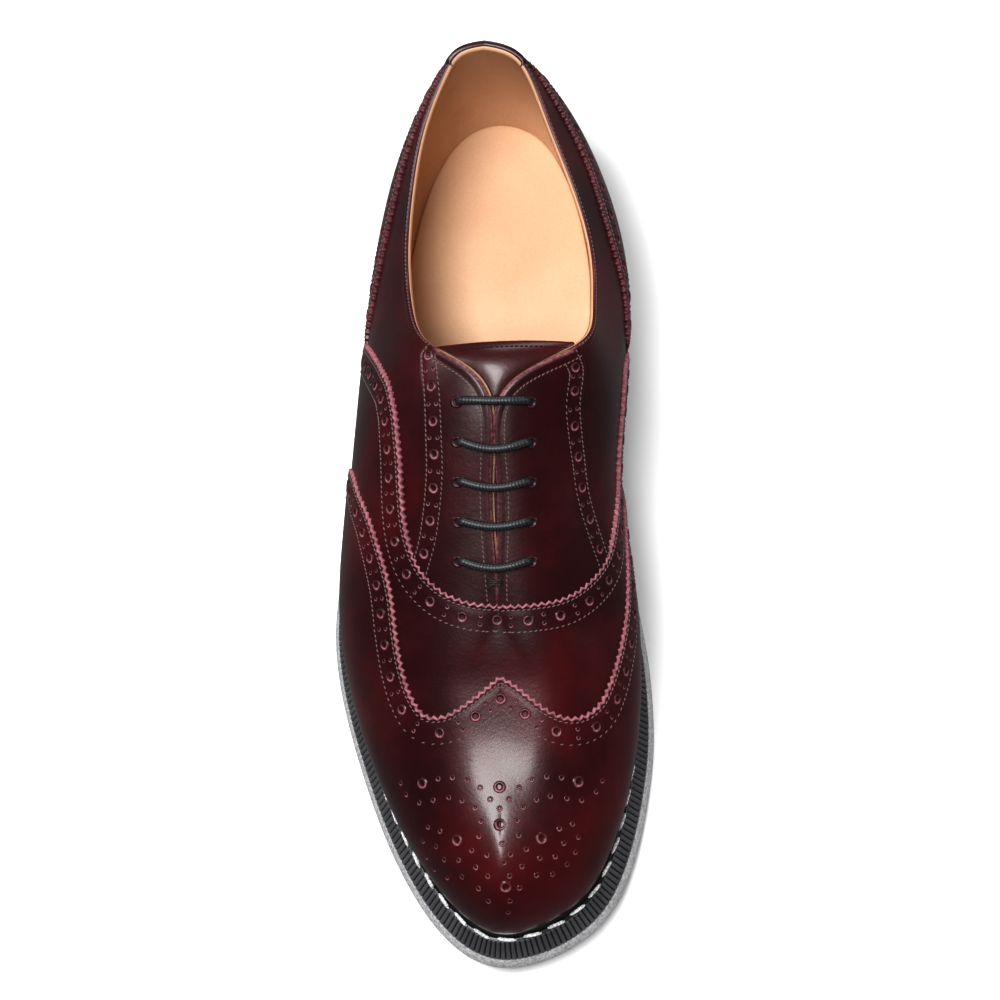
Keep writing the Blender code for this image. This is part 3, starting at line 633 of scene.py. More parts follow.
rolled_height = quarter_height + on_facing * (facing_height - quarter_height)
# Painted highlight: a pale line along the rolled edge's crown, stronger along the facings.
rolled_part = grid_part(collar_rows(rolled, collar_where, rolled_height),
                        raw=rolled[:, 3][:, None] * (0.35 + 0.65 * on_facing[None]))
quarter_part = grid_part(grid_point + grid_normal * quarter_height + grid_lift, keep=quarter_keep)
add_piece("quarters", [quarter_part, rolled_part], oxblood, "oxblood_leather", "upper")
collar_line = Seam(on_heel, np.stack([np.linspace(-collar_end, collar_end, 60),
                                      np.full(60, level_spread)], -1), -1)
add_piece("collar_stitches", [stitch_row(collar_line, collar_stitch_inset, quarter_height)],
          thread_material, "oxblood_leather")

# Facings
# The two edges of the closed throat: a second layer of calf with folded edges, two rows of
# stitches, a punched strip along its outer seam and five blind eyelets on each side. A tack of
# dark thread closes the foot of the slit.
eyelet_pitch = 0.0120
eyelet_spread = 0.0236
first_eyelet = 0.438
eyelet_radius = 0.00195
facing_end = 11.55
facing_strip_middle = 0.0045
facing_strip_top = 0.0055
facing_strip_foot = 0.0125
facing_first_row = 0.0017
facing_second_row = 0.0073
throat_row_inset = 0.0033
edge_lap = 0.0036
big_hole = 0.00185
small_hole = 0.00082
pair_spread = 0.00145
tack_half = 0.0029
tack_radius = 0.00034

# Seam rows hold station and level; a facing's foot is hidden under the vamp
facing_lateral = [(7.15, 1.00), (7.22, 0.952), (7.50, 0.90), (7.91, 0.844), (8.81, 0.757), (9.36, 0.737),
                  (9.72, 0.723), (10.06, 0.700), (10.26, 0.672), (10.50, 0.635)]
facing_medial = [(7.30, 1.00), (7.38, 0.883), (7.96, 0.729), (8.29, 0.651), (8.62, 0.593), (8.97, 0.556),
                 (9.29, 0.521), (9.62, 0.477), (9.95, 0.425)]
facing_foot = {-1: [(-10.9, 3.55), (-11.3, 4.1), (-11.55, 4.7)],
               1: [(10.4, 2.7), (10.9, 3.3), (11.35, 4.1), (11.55, 4.7)]}


def inside(points, outline):
    """True for points in a closed outline, by counting the edges that they see to one side."""
    start, end = outline, np.roll(outline, -1, 0)
    result = np.zeros(len(points), bool)
    for (x0, y0), (x1, y1) in zip(start, end):
        if y0 == y1:
            continue
        spans = (y0 > points[:, 1]) != (y1 > points[:, 1])
        result ^= spans & (points[:, 0] < x0 + (points[:, 1] - y0) / (y1 - y0) * (x1 - x0))
    return result


def fill_part(outline, chart_grid, height):
    """The wall's grid at one height, cut to the cells that lie in the outline on a chart."""
    keep = inside(chart_grid.reshape(-1, 2), outline).reshape(grid_station.shape)
    height = height * lasted(grid_spots[..., 1:])
    return grid_part(grid_point + grid_normal * height + grid_lift, keep=keep)


def edge_part(seam, base, top, teeth=0.0, raw=1.0, pitch=0.00245):
    """Panel's edge: a cut face, pinked into teeth where asked, a stitch groove and a flat lap."""
    cells = max(int(round(seam.length / pitch)), 1)
    run = np.linspace(0, seam.length, cells * 8 + 1)[:, None]
    tooth = (np.abs((np.arange(cells * 8 + 1) / 8 % 1) * 2 - 1) - 0.5)[:, None] * teeth
    profile = np.array([
        # inset, tooth share, height share, raw
        (0.0000, 1.0, -0.15, 1.0),
        (0.0000, 1.0, 0.60, 1.0),
        (0.00015, 1.0, 0.88, 1.0),
        (0.0004, 1.0, 1.00, 1.0),
        (0.0008, 0.9, 1.03, 0.55),
        (0.0012, 0.4, 0.97, 0.05),
        (0.0016, 0.0, 0.93, 0.0),
        (0.0020, 0.0, 0.93, 0.0),
        (0.0028, 0.0, 0.99, 0.0),
        (0.0036, 0.0, 1.01, 0.0),
        (0.0047, 0.0, 1.01, 0.0),
        (0.0058, 0.0, 0.98, 0.0),
    ])
    spots = seam.spots_at(run, profile[None, :, 0] + tooth * profile[None, :, 1])
    height = base + (top - base) * profile[:, 2]
    points = raised(seam.chart, spots, np.broadcast_to(height, spots.shape[:-1]))
    return grid_part(points, raw=profile[None, :, 3] * raw)


def hole_part(chart, spots, height, radius, lip=1.0):
    """Punched holes: a low pale lip round a floor of painted shade, the lip's raw tint strongest on its
    toe side as a painted highlight; sizes as shares of each radius.
    """
    profile = np.array([
        # radius, height, raw, painted shade of the floor
        (0.02, -0.02, 0.0, 1.0),
        (0.36, 0.00, 0.0, 0.8),
        (0.58, 0.10, 0.5 * lip, 0.1),
        (0.74, 0.19, 1.0 * lip, 0.0),
        (0.88, 0.14, 0.55 * lip, 0.0),
        (1.15, -0.09, 0.0, 0.0),
    ])
    point, first, _, normal = frame_at(chart, spots)
    along = unit(first - normal * (first * normal).sum(-1, keepdims=True))
    along, across = along[:, None, None], np.cross(normal, along)[:, None, None]
    sides = 18 if radius > 0.0015 else 12
    turn = (np.arange(sides) / sides * 2 * np.pi)[:, None]
    reach, rise, raw, painted_shade = profile.T[:, None, :, None, None]
    lift = (height * lasted(chart(spots)[1]) + relief(point))[:, None, None, None]
    verts = (point[:, None, None] + (along * np.cos(turn) + across * np.sin(turn)) * reach * radius
             + normal[:, None, None] * (lift + rise * radius + 0 * turn))
    index = np.arange(len(profile) * sides).reshape(len(profile), sides)
    quads = quads_of(np.concatenate([index, index[:, :1]], 1), len(point))
    # Painted highlight: each lip's raw tint runs from about a quarter on its heel side to full on its toe
    # side.
    painted_highlight_side = 0.62 - 0.38 * (along * np.cos(turn) + across * np.sin(turn))[..., 1]
    return (verts.reshape(-1, 3), quads, (raw[..., 0] * painted_highlight_side).reshape(-1),
            (painted_shade[..., 0] + 0 * painted_highlight_side).reshape(-1))


def band_parts(seam, middle, height, start, end, big_pitch=0.0098):
    """Row of the classic pattern: one big hole, then two small ones side by side, and so on."""
    cells = max(int(round((seam.length - start - end) / big_pitch)), 1)
    big = start + np.arange(cells + 1) * (seam.length - start - end) / cells
    small = np.repeat((big[:-1] + big[1:]) / 2, 2)
    inset = middle + np.tile([-pair_spread, pair_spread], cells)
    return [hole_part(seam.chart, seam.spots_at(big, middle), height, big_hole),
            hole_part(seam.chart, seam.spots_at(small, inset), height, small_hole)]


def heel_rows(rows, side):
    """Seam rows of station and level, as spots on the chart round the heel."""
    rows = np.array(rows)
    return np.column_stack([side * rows[:, 0], rows[:, 1] * level_spread])


def inset_line(seam, inset, count=160):
    """Chart spots of a line inside a seam."""
    return seam.spots_at(np.linspace(0, seam.length, count), inset)


def station_at(y):
    """Station at which the top line passes this place along the shoe."""
    return np.interp(0.5 - y / sole_length, top_rows[:, 0], np.arange(last_station + 1))


def eyelet_spots(side):
    """Chart spots of one side's eyelets, found below points at an even pitch in plan."""
    y = place(first_eyelet) - edge_centre[1] - np.arange(5) * eyelet_pitch
    target = np.stack([np.full(5, throat_axis + side * eyelet_spread / 2), y, np.zeros(5)], -1)
    start = np.stack([side * station_at(y), np.full(5, 4.6)], -1)
    return walk(on_heel, start, target, only=(1, 1, 0))


grid_heel = np.stack([grid_side * grid_station, grid_spots[..., 1] * level_spread], -1)
facing_stitches = []
for name, rows, side in (("facing_lateral", facing_lateral, -1), ("facing_medial", facing_medial, 1)):
    seam = Seam(on_heel, heel_rows(rows, side), -side)
    top = np.column_stack([side * np.linspace(facing_end, collar_end, 60), np.full(60, level_spread)])
    outline = np.concatenate([inset_line(seam, edge_lap), facing_foot[side], top + [0, 0.2]])
    # Blind eyelets: a faint lip round a floor of painted shade.
    eyelets = hole_part(on_heel, eyelet_spots(side), facing_height, eyelet_radius, lip=0.35)
    add_piece(name + "_panel", [fill_part(outline, grid_heel, facing_height),
                                edge_part(seam, quarter_height, facing_height, raw=0.06),
                                *band_parts(seam, facing_strip_middle, facing_height,
                                            facing_strip_top, facing_strip_foot), eyelets],
              oxblood, "oxblood_leather", name)
    throat_line = Seam(on_heel, top[::-1], side)
    facing_stitches += [stitch_row(seam, facing_first_row, facing_height),
                        stitch_row(seam, facing_second_row, facing_height, 0.002),
                        stitch_row(throat_line, throat_row_inset, facing_height)]
add_piece("facing_stitches", facing_stitches, thread_material, "oxblood_leather")


def tube_part(core, size, turns, painted_shade=0.0, across=None, flat=1.0):
    """Tube round a core line: core + size * (across * cos(turn) + upward * sin(turn) * flat)."""
    upward = np.array([[0, 0, 1.0]])
    if across is None:
        forward = unit(np.gradient(core, axis=0))
        across = unit(np.cross(forward, upward))
        upward = np.cross(across, forward)
    turn = np.linspace(0, 2 * np.pi, turns + 1)
    points = (core[:, None] + across[:, None] * (np.cos(turn) * size)[..., None]
              + upward[:, None] * (np.sin(turn) * size * flat)[..., None])
    return grid_part(points, painted_shade=painted_shade, core=core[:, None])


tack_y = place(first_eyelet) - edge_centre[1] - 4 * eyelet_pitch - 0.0071
tack_threads = ((0.0006, 0.0006), (0.0, 0.0), (-0.0006, -0.0006), (-0.0022, 0.0022), (0.0022, -0.0022))
tack_parts = []
for left_y, right_y in tack_threads:
    target = np.array([[throat_axis - tack_half, tack_y + left_y, 0],
                       [throat_axis + tack_half, tack_y + right_y, 0]])
    ends = walk(on_heel, np.array([[-10.6, 4.85], [10.6, 4.85]]), target, only=(1, 1, 0))
    ends = rounded_wall(*on_heel(ends))
    share = np.linspace(-1, 1, 9)
    core = ends[0] + (ends[1] - ends[0]) * (share[:, None] + 1) / 2
    core[:, 2] += facing_height + 0.0006 - 0.0009 * share ** 6
    tack_parts.append(tube_part(core, np.full((9, 1), tack_radius), 8))
dark_thread = material_of("dark_thread", Base_Color=(0.016, 0.008, 0.009), Roughness=0.6)[0]
add_piece("bar_tack", tack_parts, dark_thread, "oxblood_leather")

# Vamp
# The U-shaped front panel of the same calf, cut with a toothed edge and sewn over the quarters
# and the facings' feet, with a punched strip between its two rows of stitches.
vamp_height = 0.0014
tooth_depth = 0.0011
first_row = 0.00175
second_row = 0.0090
strip_middle = 0.0053
strip_end = 0.004
wing_lap = 0.0030
below_foot = 5.6
wing_foot = 7.9

# Seam rows, station and level from the foot up to the ridge
vamp_lateral = [(5.95, 0.00), (5.95, 0.50), (6.20, 0.60), (6.75, 0.71), (7.25, 0.74), (7.76, 0.718),
                (8.55, 0.668), (9.20, 0.651), (9.95, 0.672), (10.50, 0.718), (10.83, 0.77),
                (11.23, 0.865), (11.50, 0.955), (11.60, 1.00)]
vamp_medial = [(5.95, 0.00), (5.95, 0.38), (6.20, 0.45), (6.70, 0.455), (7.25, 0.41), (7.80, 0.37),
               (8.30, 0.345), (9.15, 0.40), (9.65, 0.46), (10.25, 0.566), (10.81, 0.70),
               (11.21, 0.84), (11.48, 0.945), (11.60, 1.00)]
wing_lateral = [(7.75, 0.00), (7.85, 0.25), (8.10, 0.36), (8.75, 0.44), (9.40, 0.51), (10.35, 0.58),
                (11.10, 0.582), (11.70, 0.587), (12.08, 0.60), (12.48, 0.64), (12.73, 0.725),
                (12.81, 0.83), (12.78, 0.925), (12.64, 1.00)]
wing_medial = [(7.75, 0.00), (7.90, 0.16), (8.30, 0.25), (9.10, 0.30), (9.90, 0.355), (10.65, 0.395),
               (11.10, 0.43), (11.65, 0.48), (12.06, 0.53), (12.39, 0.60), (12.66, 0.70),
               (12.75, 0.79), (12.74, 0.90), (12.64, 1.00)]


def on_toe(spots):
    """Chart flat over the toe: station, girth from the ridge, lateral below zero."""
    return (np.where(spots[..., 1] > 0, round_trip - spots[..., 0], spots[..., 0]),
            1 - np.abs(spots[..., 1]) / level_spread)


def toe_rows(rows, side):
    """Seam rows of station and level, as spots on the chart over the toe."""
    rows = np.array(rows)
    return np.column_stack([rows[:, 0], side * (1 - rows[:, 1]) * level_spread])


grid_toe = np.stack([grid_station, grid_side * (1 - grid_spots[..., 1]) * level_spread], -1)
vamp_rows = np.concatenate([toe_rows(vamp_lateral, -1), toe_rows(vamp_medial, 1)[-2::-1]])
vamp_seam = Seam(on_toe, vamp_rows, -1)
wing_legs = [Seam(on_toe, toe_rows(wing_lateral, -1), -1, (-level_spread, 0.0)),
             Seam(on_toe, toe_rows(wing_medial, 1), 1, (0.0, level_spread))]
vamp_line = inset_line(vamp_seam, edge_lap)
under_wing = [inset_line(leg, wing_lap) for leg in wing_legs]
vamp_outline = np.concatenate([vamp_line, [(vamp_line[-1, 0], below_foot), (wing_foot, below_foot)],
                               under_wing[1], under_wing[0][::-1],
                               [(wing_foot, -below_foot), (vamp_line[0, 0], -below_foot)]])
add_piece("vamp_panel", [fill_part(vamp_outline, grid_toe, vamp_height),
                         edge_part(vamp_seam, quarter_height, vamp_height, tooth_depth),
                         *band_parts(vamp_seam, strip_middle, vamp_height, strip_end, strip_end)],
          oxblood, "oxblood_leather", "vamp")
add_piece("vamp_stitches", [stitch_row(vamp_seam, first_row, vamp_height),
                            stitch_row(vamp_seam, second_row, vamp_height)],
          thread_material, "oxblood_leather")

# Wing cap
# The toe cap with its peak and long wings, toothed, sewn over the vamp and punched with the
# traditional pattern round a fleur on the toe.
wing_height = 0.0023
fleur_hole = 0.0020
fleur_small_hole = 0.0010
past_toe = 16.2
strip_to_peak = 0.0143
pair_to_peak = 0.0093
first_row_to_peak = 0.0015
second_row_to_peak = 0.0078
wing_lines = [inset_line(leg, edge_lap) for leg in wing_legs]
wing_outline = np.concatenate([wing_lines[0], wing_lines[1][::-1],
                               [(wing_foot, below_foot), (past_toe, below_foot),
                                (past_toe, -below_foot), (wing_foot, -below_foot)]])

# Fleur: places on the cap in plan, in millimetres across from its axis and along the shoe
fleur_axis = 0.0054
fleur_big = [(0.0, -99.3), (0.0, -111.6), (0.0, -130.2), (13.0, -115.4), (-13.0, -115.4),
             (24.5, -96.4), (-24.5, -96.4), (0.3, -70.9)]
fleur_middle = [(0.0, -106.3), (0.0, -117.3), (0.0, -123.3), (0.4, -136.9)]
fleur_side = [(2.9, -103.3), (7.5, -105.8), (5.5, -110.2), (6.0, -114.9), (8.2, -119.0),
              (3.3, -120.9), (6.8, -124.2), (3.0, -127.1), (5.9, -130.3), (3.0, -133.9),
              (6.2, -99.4), (10.3, -96.7), (14.9, -95.6), (19.4, -95.6), (11.7, -103.2),
              (15.9, -101.8), (20.9, -102.1), (25.4, -102.2), (29.8, -98.9), (31.7, -95.1),
              (22.5, -110.0), (18.5, -111.9), (24.2, -113.8), (19.8, -116.2), (23.2, -118.5),
              (17.1, -120.5), (12.4, -121.4), (20.6, -122.4), (16.2, -125.7), (11.2, -126.4)]


def cap_spots(places):
    """Chart spots on the toe below places in plan, by Gauss-Newton steps in plan."""
    places = np.array(places) / 1000
    target = np.stack([fleur_axis + places[:, 0], places[:, 1], 0 * places[:, 0]], -1)
    spots = np.stack([np.minimum(station_at(places[:, 1]), 15.4), places[:, 0] * 80 + 0.02], -1)
    for _ in range(3):
        spots = walk(on_toe, spots, target, only=(1, 1, 0))
        spots[:, 0] = np.clip(spots[:, 0], 11, 15.9)
    return spots


wing_parts = [fill_part(wing_outline, grid_toe, wing_height)]
wing_stitches = []
for leg in wing_legs:
    wing_parts.append(edge_part(leg, vamp_height, wing_height, tooth_depth))
    wing_parts.extend(band_parts(leg, strip_middle, wing_height, strip_end, strip_to_peak))
    last_pair = leg.spots_at(np.full(2, leg.length - pair_to_peak),
                             strip_middle + np.array([-pair_spread, pair_spread]))
    wing_parts.append(hole_part(on_toe, last_pair, wing_height, small_hole))
    wing_stitches += [stitch_row(leg, first_row, wing_height, end=first_row_to_peak),
                      stitch_row(leg, second_row, wing_height, end=second_row_to_peak)]
fleur_small = fleur_middle + fleur_side + [(-x, y) for x, y in fleur_side]
wing_parts += [hole_part(on_toe, cap_spots(fleur_big), wing_height, fleur_hole),
               hole_part(on_toe, cap_spots(fleur_small), wing_height, fleur_small_hole)]
add_piece("wing_panel", wing_parts, oxblood, "oxblood_leather", "wing_cap")
add_piece("wing_cap_stitches", wing_stitches, thread_material, "oxblood_leather")

# Heel counter and tab
# The foxing round the heel, toothed like the vamp, and the short strip that guards the collar's
# back seam; both are calf sewn over the quarters.
counter_height = 0.0014
tab_height = 0.0012
counter_lateral = [(0.00, 0.84), (1.00, 0.85), (2.00, 0.88), (2.93, 0.87), (3.77, 0.78), (4.35, 0.71),
                   (5.00, 0.60), (5.45, 0.50), (5.72, 0.36), (5.80, 0.00)]
counter_medial = [(0.00, 0.84), (1.00, 0.85), (2.00, 0.84), (2.60, 0.76), (3.10, 0.71), (3.72, 0.715),
                  (4.22, 0.707), (4.67, 0.65), (5.10, 0.54), (5.60, 0.46), (5.75, 0.30), (5.80, 0.00)]
tab_rows = [(0.00, 0.868), (0.90, 0.875), (1.65, 0.905), (1.75, 1.00)]
tab_half = 1.72
tab_over = np.array([
    # back, out, over: the strip's upper end, folded over the collar
    (0.0, 0.0000, 0.0002),
    (0.0, -0.0008, 0.0006),
    (0.0, -0.0016, 0.0006),
    (0.0, -0.0022, 0.0002),
])
counter_seam = Seam(on_heel, np.concatenate([heel_rows(counter_lateral, -1)[::-1],
                                             heel_rows(counter_medial, 1)[1:]]), 1)
counter_outline = np.concatenate([inset_line(counter_seam, edge_lap), [(5.7, -0.6), (-5.7, -0.6)]])
add_piece("counter_panel", [fill_part(counter_outline, grid_heel, counter_height),
                            edge_part(counter_seam, quarter_height, counter_height, tooth_depth, raw=0.4),
                            *band_parts(counter_seam, strip_middle, counter_height, strip_end, strip_end)],
          oxblood, "oxblood_leather", "heel_counter")
add_piece("counter_stitches", [stitch_row(counter_seam, first_row, counter_height),
                               stitch_row(counter_seam, second_row, counter_height)],
          thread_material, "oxblood_leather")
tab_across = np.linspace(-tab_half, tab_half, 60)
tab_low = np.interp(np.abs(tab_across), *np.array(tab_rows).T)[:, None]
tab_share = np.linspace(0, 1, 14)
tab_level = tab_low + (1 - tab_low) * tab_share
tab_spots = np.stack([np.broadcast_to(tab_across[:, None], tab_level.shape), tab_level * level_spread], -1)
tab_sides = smoothstep((tab_half - np.abs(tab_across)) / 0.09)[:, None]
tab_lift = tab_height * smoothstep(tab_share / 0.12) * tab_sides
tab_face = raised(on_heel, tab_spots, tab_lift)
tab_edge = collar_rows(tab_over, np.mod(-tab_across, round_trip), tab_lift[:, -1])
add_piece("tab_panel", [grid_part(tab_face), grid_part(tab_edge, raw=0.12)],
          oxblood, "oxblood_leather", "heel_tab")

# Lining
# Natural vegetable-tanned leather inside the whole upper; its edge meets the rolled edge of the
# calf at the collar and shows as a pale lip along the throat, a painted highlight.
inner_depth = 0.0020
lean_in = 0.0009
inner_rolled = np.array([
    # back, out, over: inner half of the rolled edge
    (0.0000, -0.00095, 0.00040),
    (0.0000, -0.00150, 0.00035),
    (0.0003, -0.00205, 0.00000),
    (0.0012, -0.00215, 0.00000),
    (0.0030, -0.00185, 0.00000),
])
# Painted highlight: raw tint that pales the lining's lip to cream along the throat.
throat_lip_highlight = np.array([0.9, 0.7, 0.3, 0, 0])


def natural_leather(name, colour, shade):
    """Matt natural leather: two close tans, darker in faint specks, with a fine grain."""
    material, shader, base = material_of(name, Roughness=0.55, Coat_Weight=0.06, Coat_Roughness=0.4)
    place = base.own_place()
    patch = base.noise(place, 34.0, 3.0)
    speck = base.noise(place, 1400.0, 2.0)
    share = (patch * 0.7 + speck * 0.45).ramp(0.35, 0.85)
    cut = base.tint("raw").blend(share.blend(colour, shade), (0.70, 0.50, 0.35))
    # Painted shade: the painted_shade tint turns the colour near black; no natural-leather piece sets it.
    drive(base.tint("painted_shade").blend(cut, (0.02, 0.008, 0.004)), shader, "Base Color")
    drive(base.bump(speck + patch * 0.5, 0.25, 0.0001), shader, "Normal")
    return material


lining_leather = natural_leather("lining_leather", (0.60, 0.375, 0.24), (0.50, 0.29, 0.175))
lining_spots = np.stack(np.meshgrid(np.linspace(0, round_trip, 401), np.linspace(0, 1, 34),
                                    indexing="ij"), -1)
lining_point, _, _, lining_normal = frame_at(on_loop, lining_spots)
lining_rows = collar_rows(inner_rolled, collar_where, rolled_height * (1 - on_facing))
throat_lean = lean_in * np.where(collar_where < last_station, 1.0, -0.35)
lining_rows[:4, :, 0] += throat_lean * on_facing * (1 - smoothstep((collar_station - 11.0) / 0.5))
add_piece("lining", [grid_part(lining_point - lining_normal * inner_depth, way=-1),
                     grid_part(lining_rows, raw=throat_lip_highlight[:, None] * on_facing,
                               core=lining_rows - [0, 0, 0.01])],
          lining_leather, "natural_leather")

# Tongue
# A separate piece of calf under the facings, its top edge turned and stitched in dark thread.
# Its foot is hidden under the vamp.
tongue_top = 7.25
tongue_foot = 11.5
tongue_under = 0.0028
tongue_crown = 0.085
tongue_thickness = 0.0016
tongue_stitch_inset = 0.0019
tongue_along = np.linspace(tongue_top, tongue_foot, 90)
sides = []
for where in (tongue_along, round_trip - tongue_along):
    spots = np.stack(np.meshgrid(where, np.linspace(0.72, 1.0, 16), indexing="ij"), -1)
    point, _, _, normal = frame_at(on_loop, spots)
    sides.append(point - normal * tongue_under)
left, right = sides[0][:, -1:], sides[1][:, -1:]
share = np.linspace(0, 1, 24)[None, 1:-1, None]
crown = np.linalg.norm(right - left, axis=-1, keepdims=True) * tongue_crown * 4 * share * (1 - share)
arch = left + (right - left) * share + crown * np.array([0, 0, 1.0])
tongue_face = np.concatenate([sides[0], arch, sides[1][:, ::-1]], 1)
tongue_rim = np.stack([tongue_face[0] - [0, 0, tongue_thickness], tongue_face[0] + [0, 0.0004, -0.0010],
                       tongue_face[0] + [0, 0.0004, -0.0003], tongue_face[0]])
tongue_leather = leather("tongue_leather", (0.038, 0.0055, 0.0060), (0.080, 0.0085, 0.0085),
                         (0.24, 0.09, 0.09))
add_piece("tongue_panel", [grid_part(tongue_face),
                           grid_part(tongue_rim, raw=0.25, core=tongue_rim - [0, 0.01, 0.005]),
                           grid_part(tongue_face - [0, 0, tongue_thickness], raw=0.3, way=-1)],
          tongue_leather, "oxblood_leather", "tongue")
middle_way = tongue_face[0, 30, 1] - tongue_face[:, 30, 1]
line = tongue_face[int(np.argmin(np.abs(middle_way - tongue_stitch_inset)))]
way = arc_length(line)
stitch_places = read_off(np.arange(stitch_pitch / 2, way[-1], stitch_pitch), way, line)
ahead = unit(np.gradient(stitch_places, axis=0))
add_piece("tongue_stitches", [stitches_on(stitch_places, ahead, np.broadcast_to([0, 1.0, 0], ahead.shape),
                                          np.broadcast_to([0, 0, 1.0], ahead.shape), 0.00015,
                                          length=0.0012, width=0.00044)],
          dark_thread, "oxblood_leather")

# Insole
# A full sock of natural leather, glued on the insole board; its face is plain. The board rests
# on the top face of the sole inside the upper.
insole_thickness = 0.0030
insole_gap = 0.0018
welt_height = 0.0024
seat_gap = 0.0003
insole_rows = np.array([
    # share of the way from the middle to the edge, drop of the rounded edge
    (1.0, 0.0012), (0.999, 0.0004), (0.985, 0.0001), (0.96, 0), (0.90, 0), (0.8, 0),
    (0.68, 0), (0.55, 0), (0.42, 0), (0.28, 0), (0.14, 0), (0.0, 0),
])


def seat_level(y):
    """Top face of the sole, on which welt, upper and insole rest."""
    return feather_level(y) - welt_height


insole_where = np.linspace(0, round_trip, 361)
insole_edge = rim(insole_where, 0.0)
insole_edge[:, :2] -= outward(insole_where) * insole_gap
spine = np.stack([np.full(361, throat_axis / 2), np.clip(insole_edge[:, 1], -0.105, 0.112),
                  np.zeros(361)], -1)
insole_face = spine + (insole_edge - spine) * insole_rows[:, 0, None, None]
insole_face[..., 2] = (seat_level(insole_face[..., 1]) + 2 * seat_gap + insole_thickness
                       - insole_rows[:, 1, None])
sock_leather = natural_leather("sock_leather", (0.72, 0.485, 0.315), (0.65, 0.41, 0.25))
add_piece("sock", [grid_part(insole_face, core=insole_face - [0, 0, 0.01])],
          sock_leather, "natural_leather", "insole")

# Welt
# A smooth black strip moulded round the top of the sole; its groove holds the thick pale
# stitches that join sole and upper.
welt_profile = np.array([
    # share of the ledge, share of the height
    (0.03, 0.10), (0.035, 0.70), (0.06, 0.93), (0.10, 1.03), (0.15, 1.05), (0.20, 1.0), (0.245, 0.86),
    (0.275, 0.62), (0.29, 0.30), (0.30, 0.12), (0.37, 0.10), (0.40, 0.14), (0.405, 0.02),
])
groove_row = 9
groove_share = 0.352
welt_stitch_pitch = 0.0086
welt_stitch_half = 0.0031
welt_thread_radius = 0.00062
welt_thread_seat = 0.0010
welt_thread_arch = 0.0009
edge_where = np.append(loop, round_trip)
edge_way = arc_length(edge_curve(np.append(loop, 0))[:, :2])
welt_where = np.interp(np.linspace(0, edge_way[-1], 721), edge_way, edge_where)


def welt_row(share_out, lift):
    """Line round the welt at a share of the ledge and a share of its height."""
    row = rim(welt_where, share_out)
    row[:, 2] = seat_level(row[:, 1]) + seat_gap + (welt_height - seat_gap) * lift
    return row


welt_rows = np.stack([welt_row(*shares) for shares in welt_profile])
welt_material = material_of("black_welt", Base_Color=(0.010, 0.010, 0.011), Roughness=0.28,
                            Coat_Weight=0.3, Coat_Roughness=0.12)[0]
add_piece("welt_strip", [grid_part(welt_rows, core=welt_rows * [0.9, 0.97, 1] - [0, 0, 0.005])],
          welt_material, "black_welt", "welt")
groove_way = arc_length(welt_rows[groove_row])
welt_stitch_count = int(round(groove_way[-1] / welt_stitch_pitch))
run = np.linspace(-1, 1, 14)
welt_thread_parts = []
for number in range(welt_stitch_count):
    middle = (number + 0.5) * groove_way[-1] / welt_stitch_count
    where = np.interp(middle + run * welt_stitch_half, groove_way, welt_where)
    core = rim(where, groove_share + 0.028 * run)
    core[:, 2] = seat_level(core[:, 1]) + welt_thread_seat + welt_thread_arch * (1 - run ** 4)
    size = welt_thread_radius * (1 - run ** 6 * 0.7) * (1 + 0.10 * np.cos(run * 26))
    across = np.concatenate([outward(where), np.zeros((14, 1))], -1)
    welt_thread_parts.append(tube_part(core, size[:, None], 8, across=across, flat=0.8))
pale_thread, thread_shader, thread_base = material_of("welt_thread", Roughness=0.6)
strands = thread_base.noise(thread_base.own_place(), 1500.0, 2.0)
drive(strands.ramp(0.35, 0.65).blend((0.30, 0.30, 0.31), (0.80, 0.80, 0.79)), thread_shader, "Base Color")
add_piece("welt_stitches", welt_thread_parts, pale_thread, "black_welt")

# Outsole
# A rubber unit sole moulded in one: fine upright ribs on a slanting side, a paler smooth band
# at the ground, a heel block and a raised arch. It is sewn to the upper through the welt.
rib_pitch = 0.0021
rib_depth = 0.00055
heel_block_length = 0.074
breast_run = 0.0030
rib_top_share = 0.445
rib_foot_share = 0.80
rib_foot_height = 0.0068
rib_rows = np.array([
    # share of the pitch, share of the depth
    (0.0, 1.0), (0.06, 1.0), (0.14, 0.0), (0.80, 0.0), (0.88, 1.0), (0.94, 1.0),
])
side_profile = [
    # share of the ledge, base (0 seat, 1 tread, None between), height above it, share of the rib depth
    (0.36, 0, 0.0002, 0.0), (0.425, 0, 0.0002, 0.0), (0.435, 0, 0.00015, 0.4),
    (rib_top_share, 0, -0.0002, 1.0), (0.62, None, 0.5, 1.0), (rib_foot_share, 1, rib_foot_height, 1.0),
    (0.812, 1, 0.0066, 0.5), (0.826, 1, 0.0064, 0.0), (0.90, 1, 0.0052, 0.0), (0.975, 1, 0.0034, 0.0),
    (1.00, 1, 0.0018, 0.0), (0.99, 1, 0.0007, 0.0), (0.965, 1, 0.0001, 0.0), (0.93, 1, 0.0, 0.0),
]


def bottom_level(y):
    """Height of the tread: flat heel, steep breast, arch that falls to the ball, toe spring."""
    along = 0.5 - y / sole_length
    breast = heel_block_length / sole_length
    past = smoothstep((along - breast) / (breast_run / sole_length))
    arch = 1 - smoothstep((along - breast - 0.03) / 0.30)
    return arch_height * past * arch + toe_spring * np.clip((along - 0.70) / 0.30, 0, 1) ** 1.8


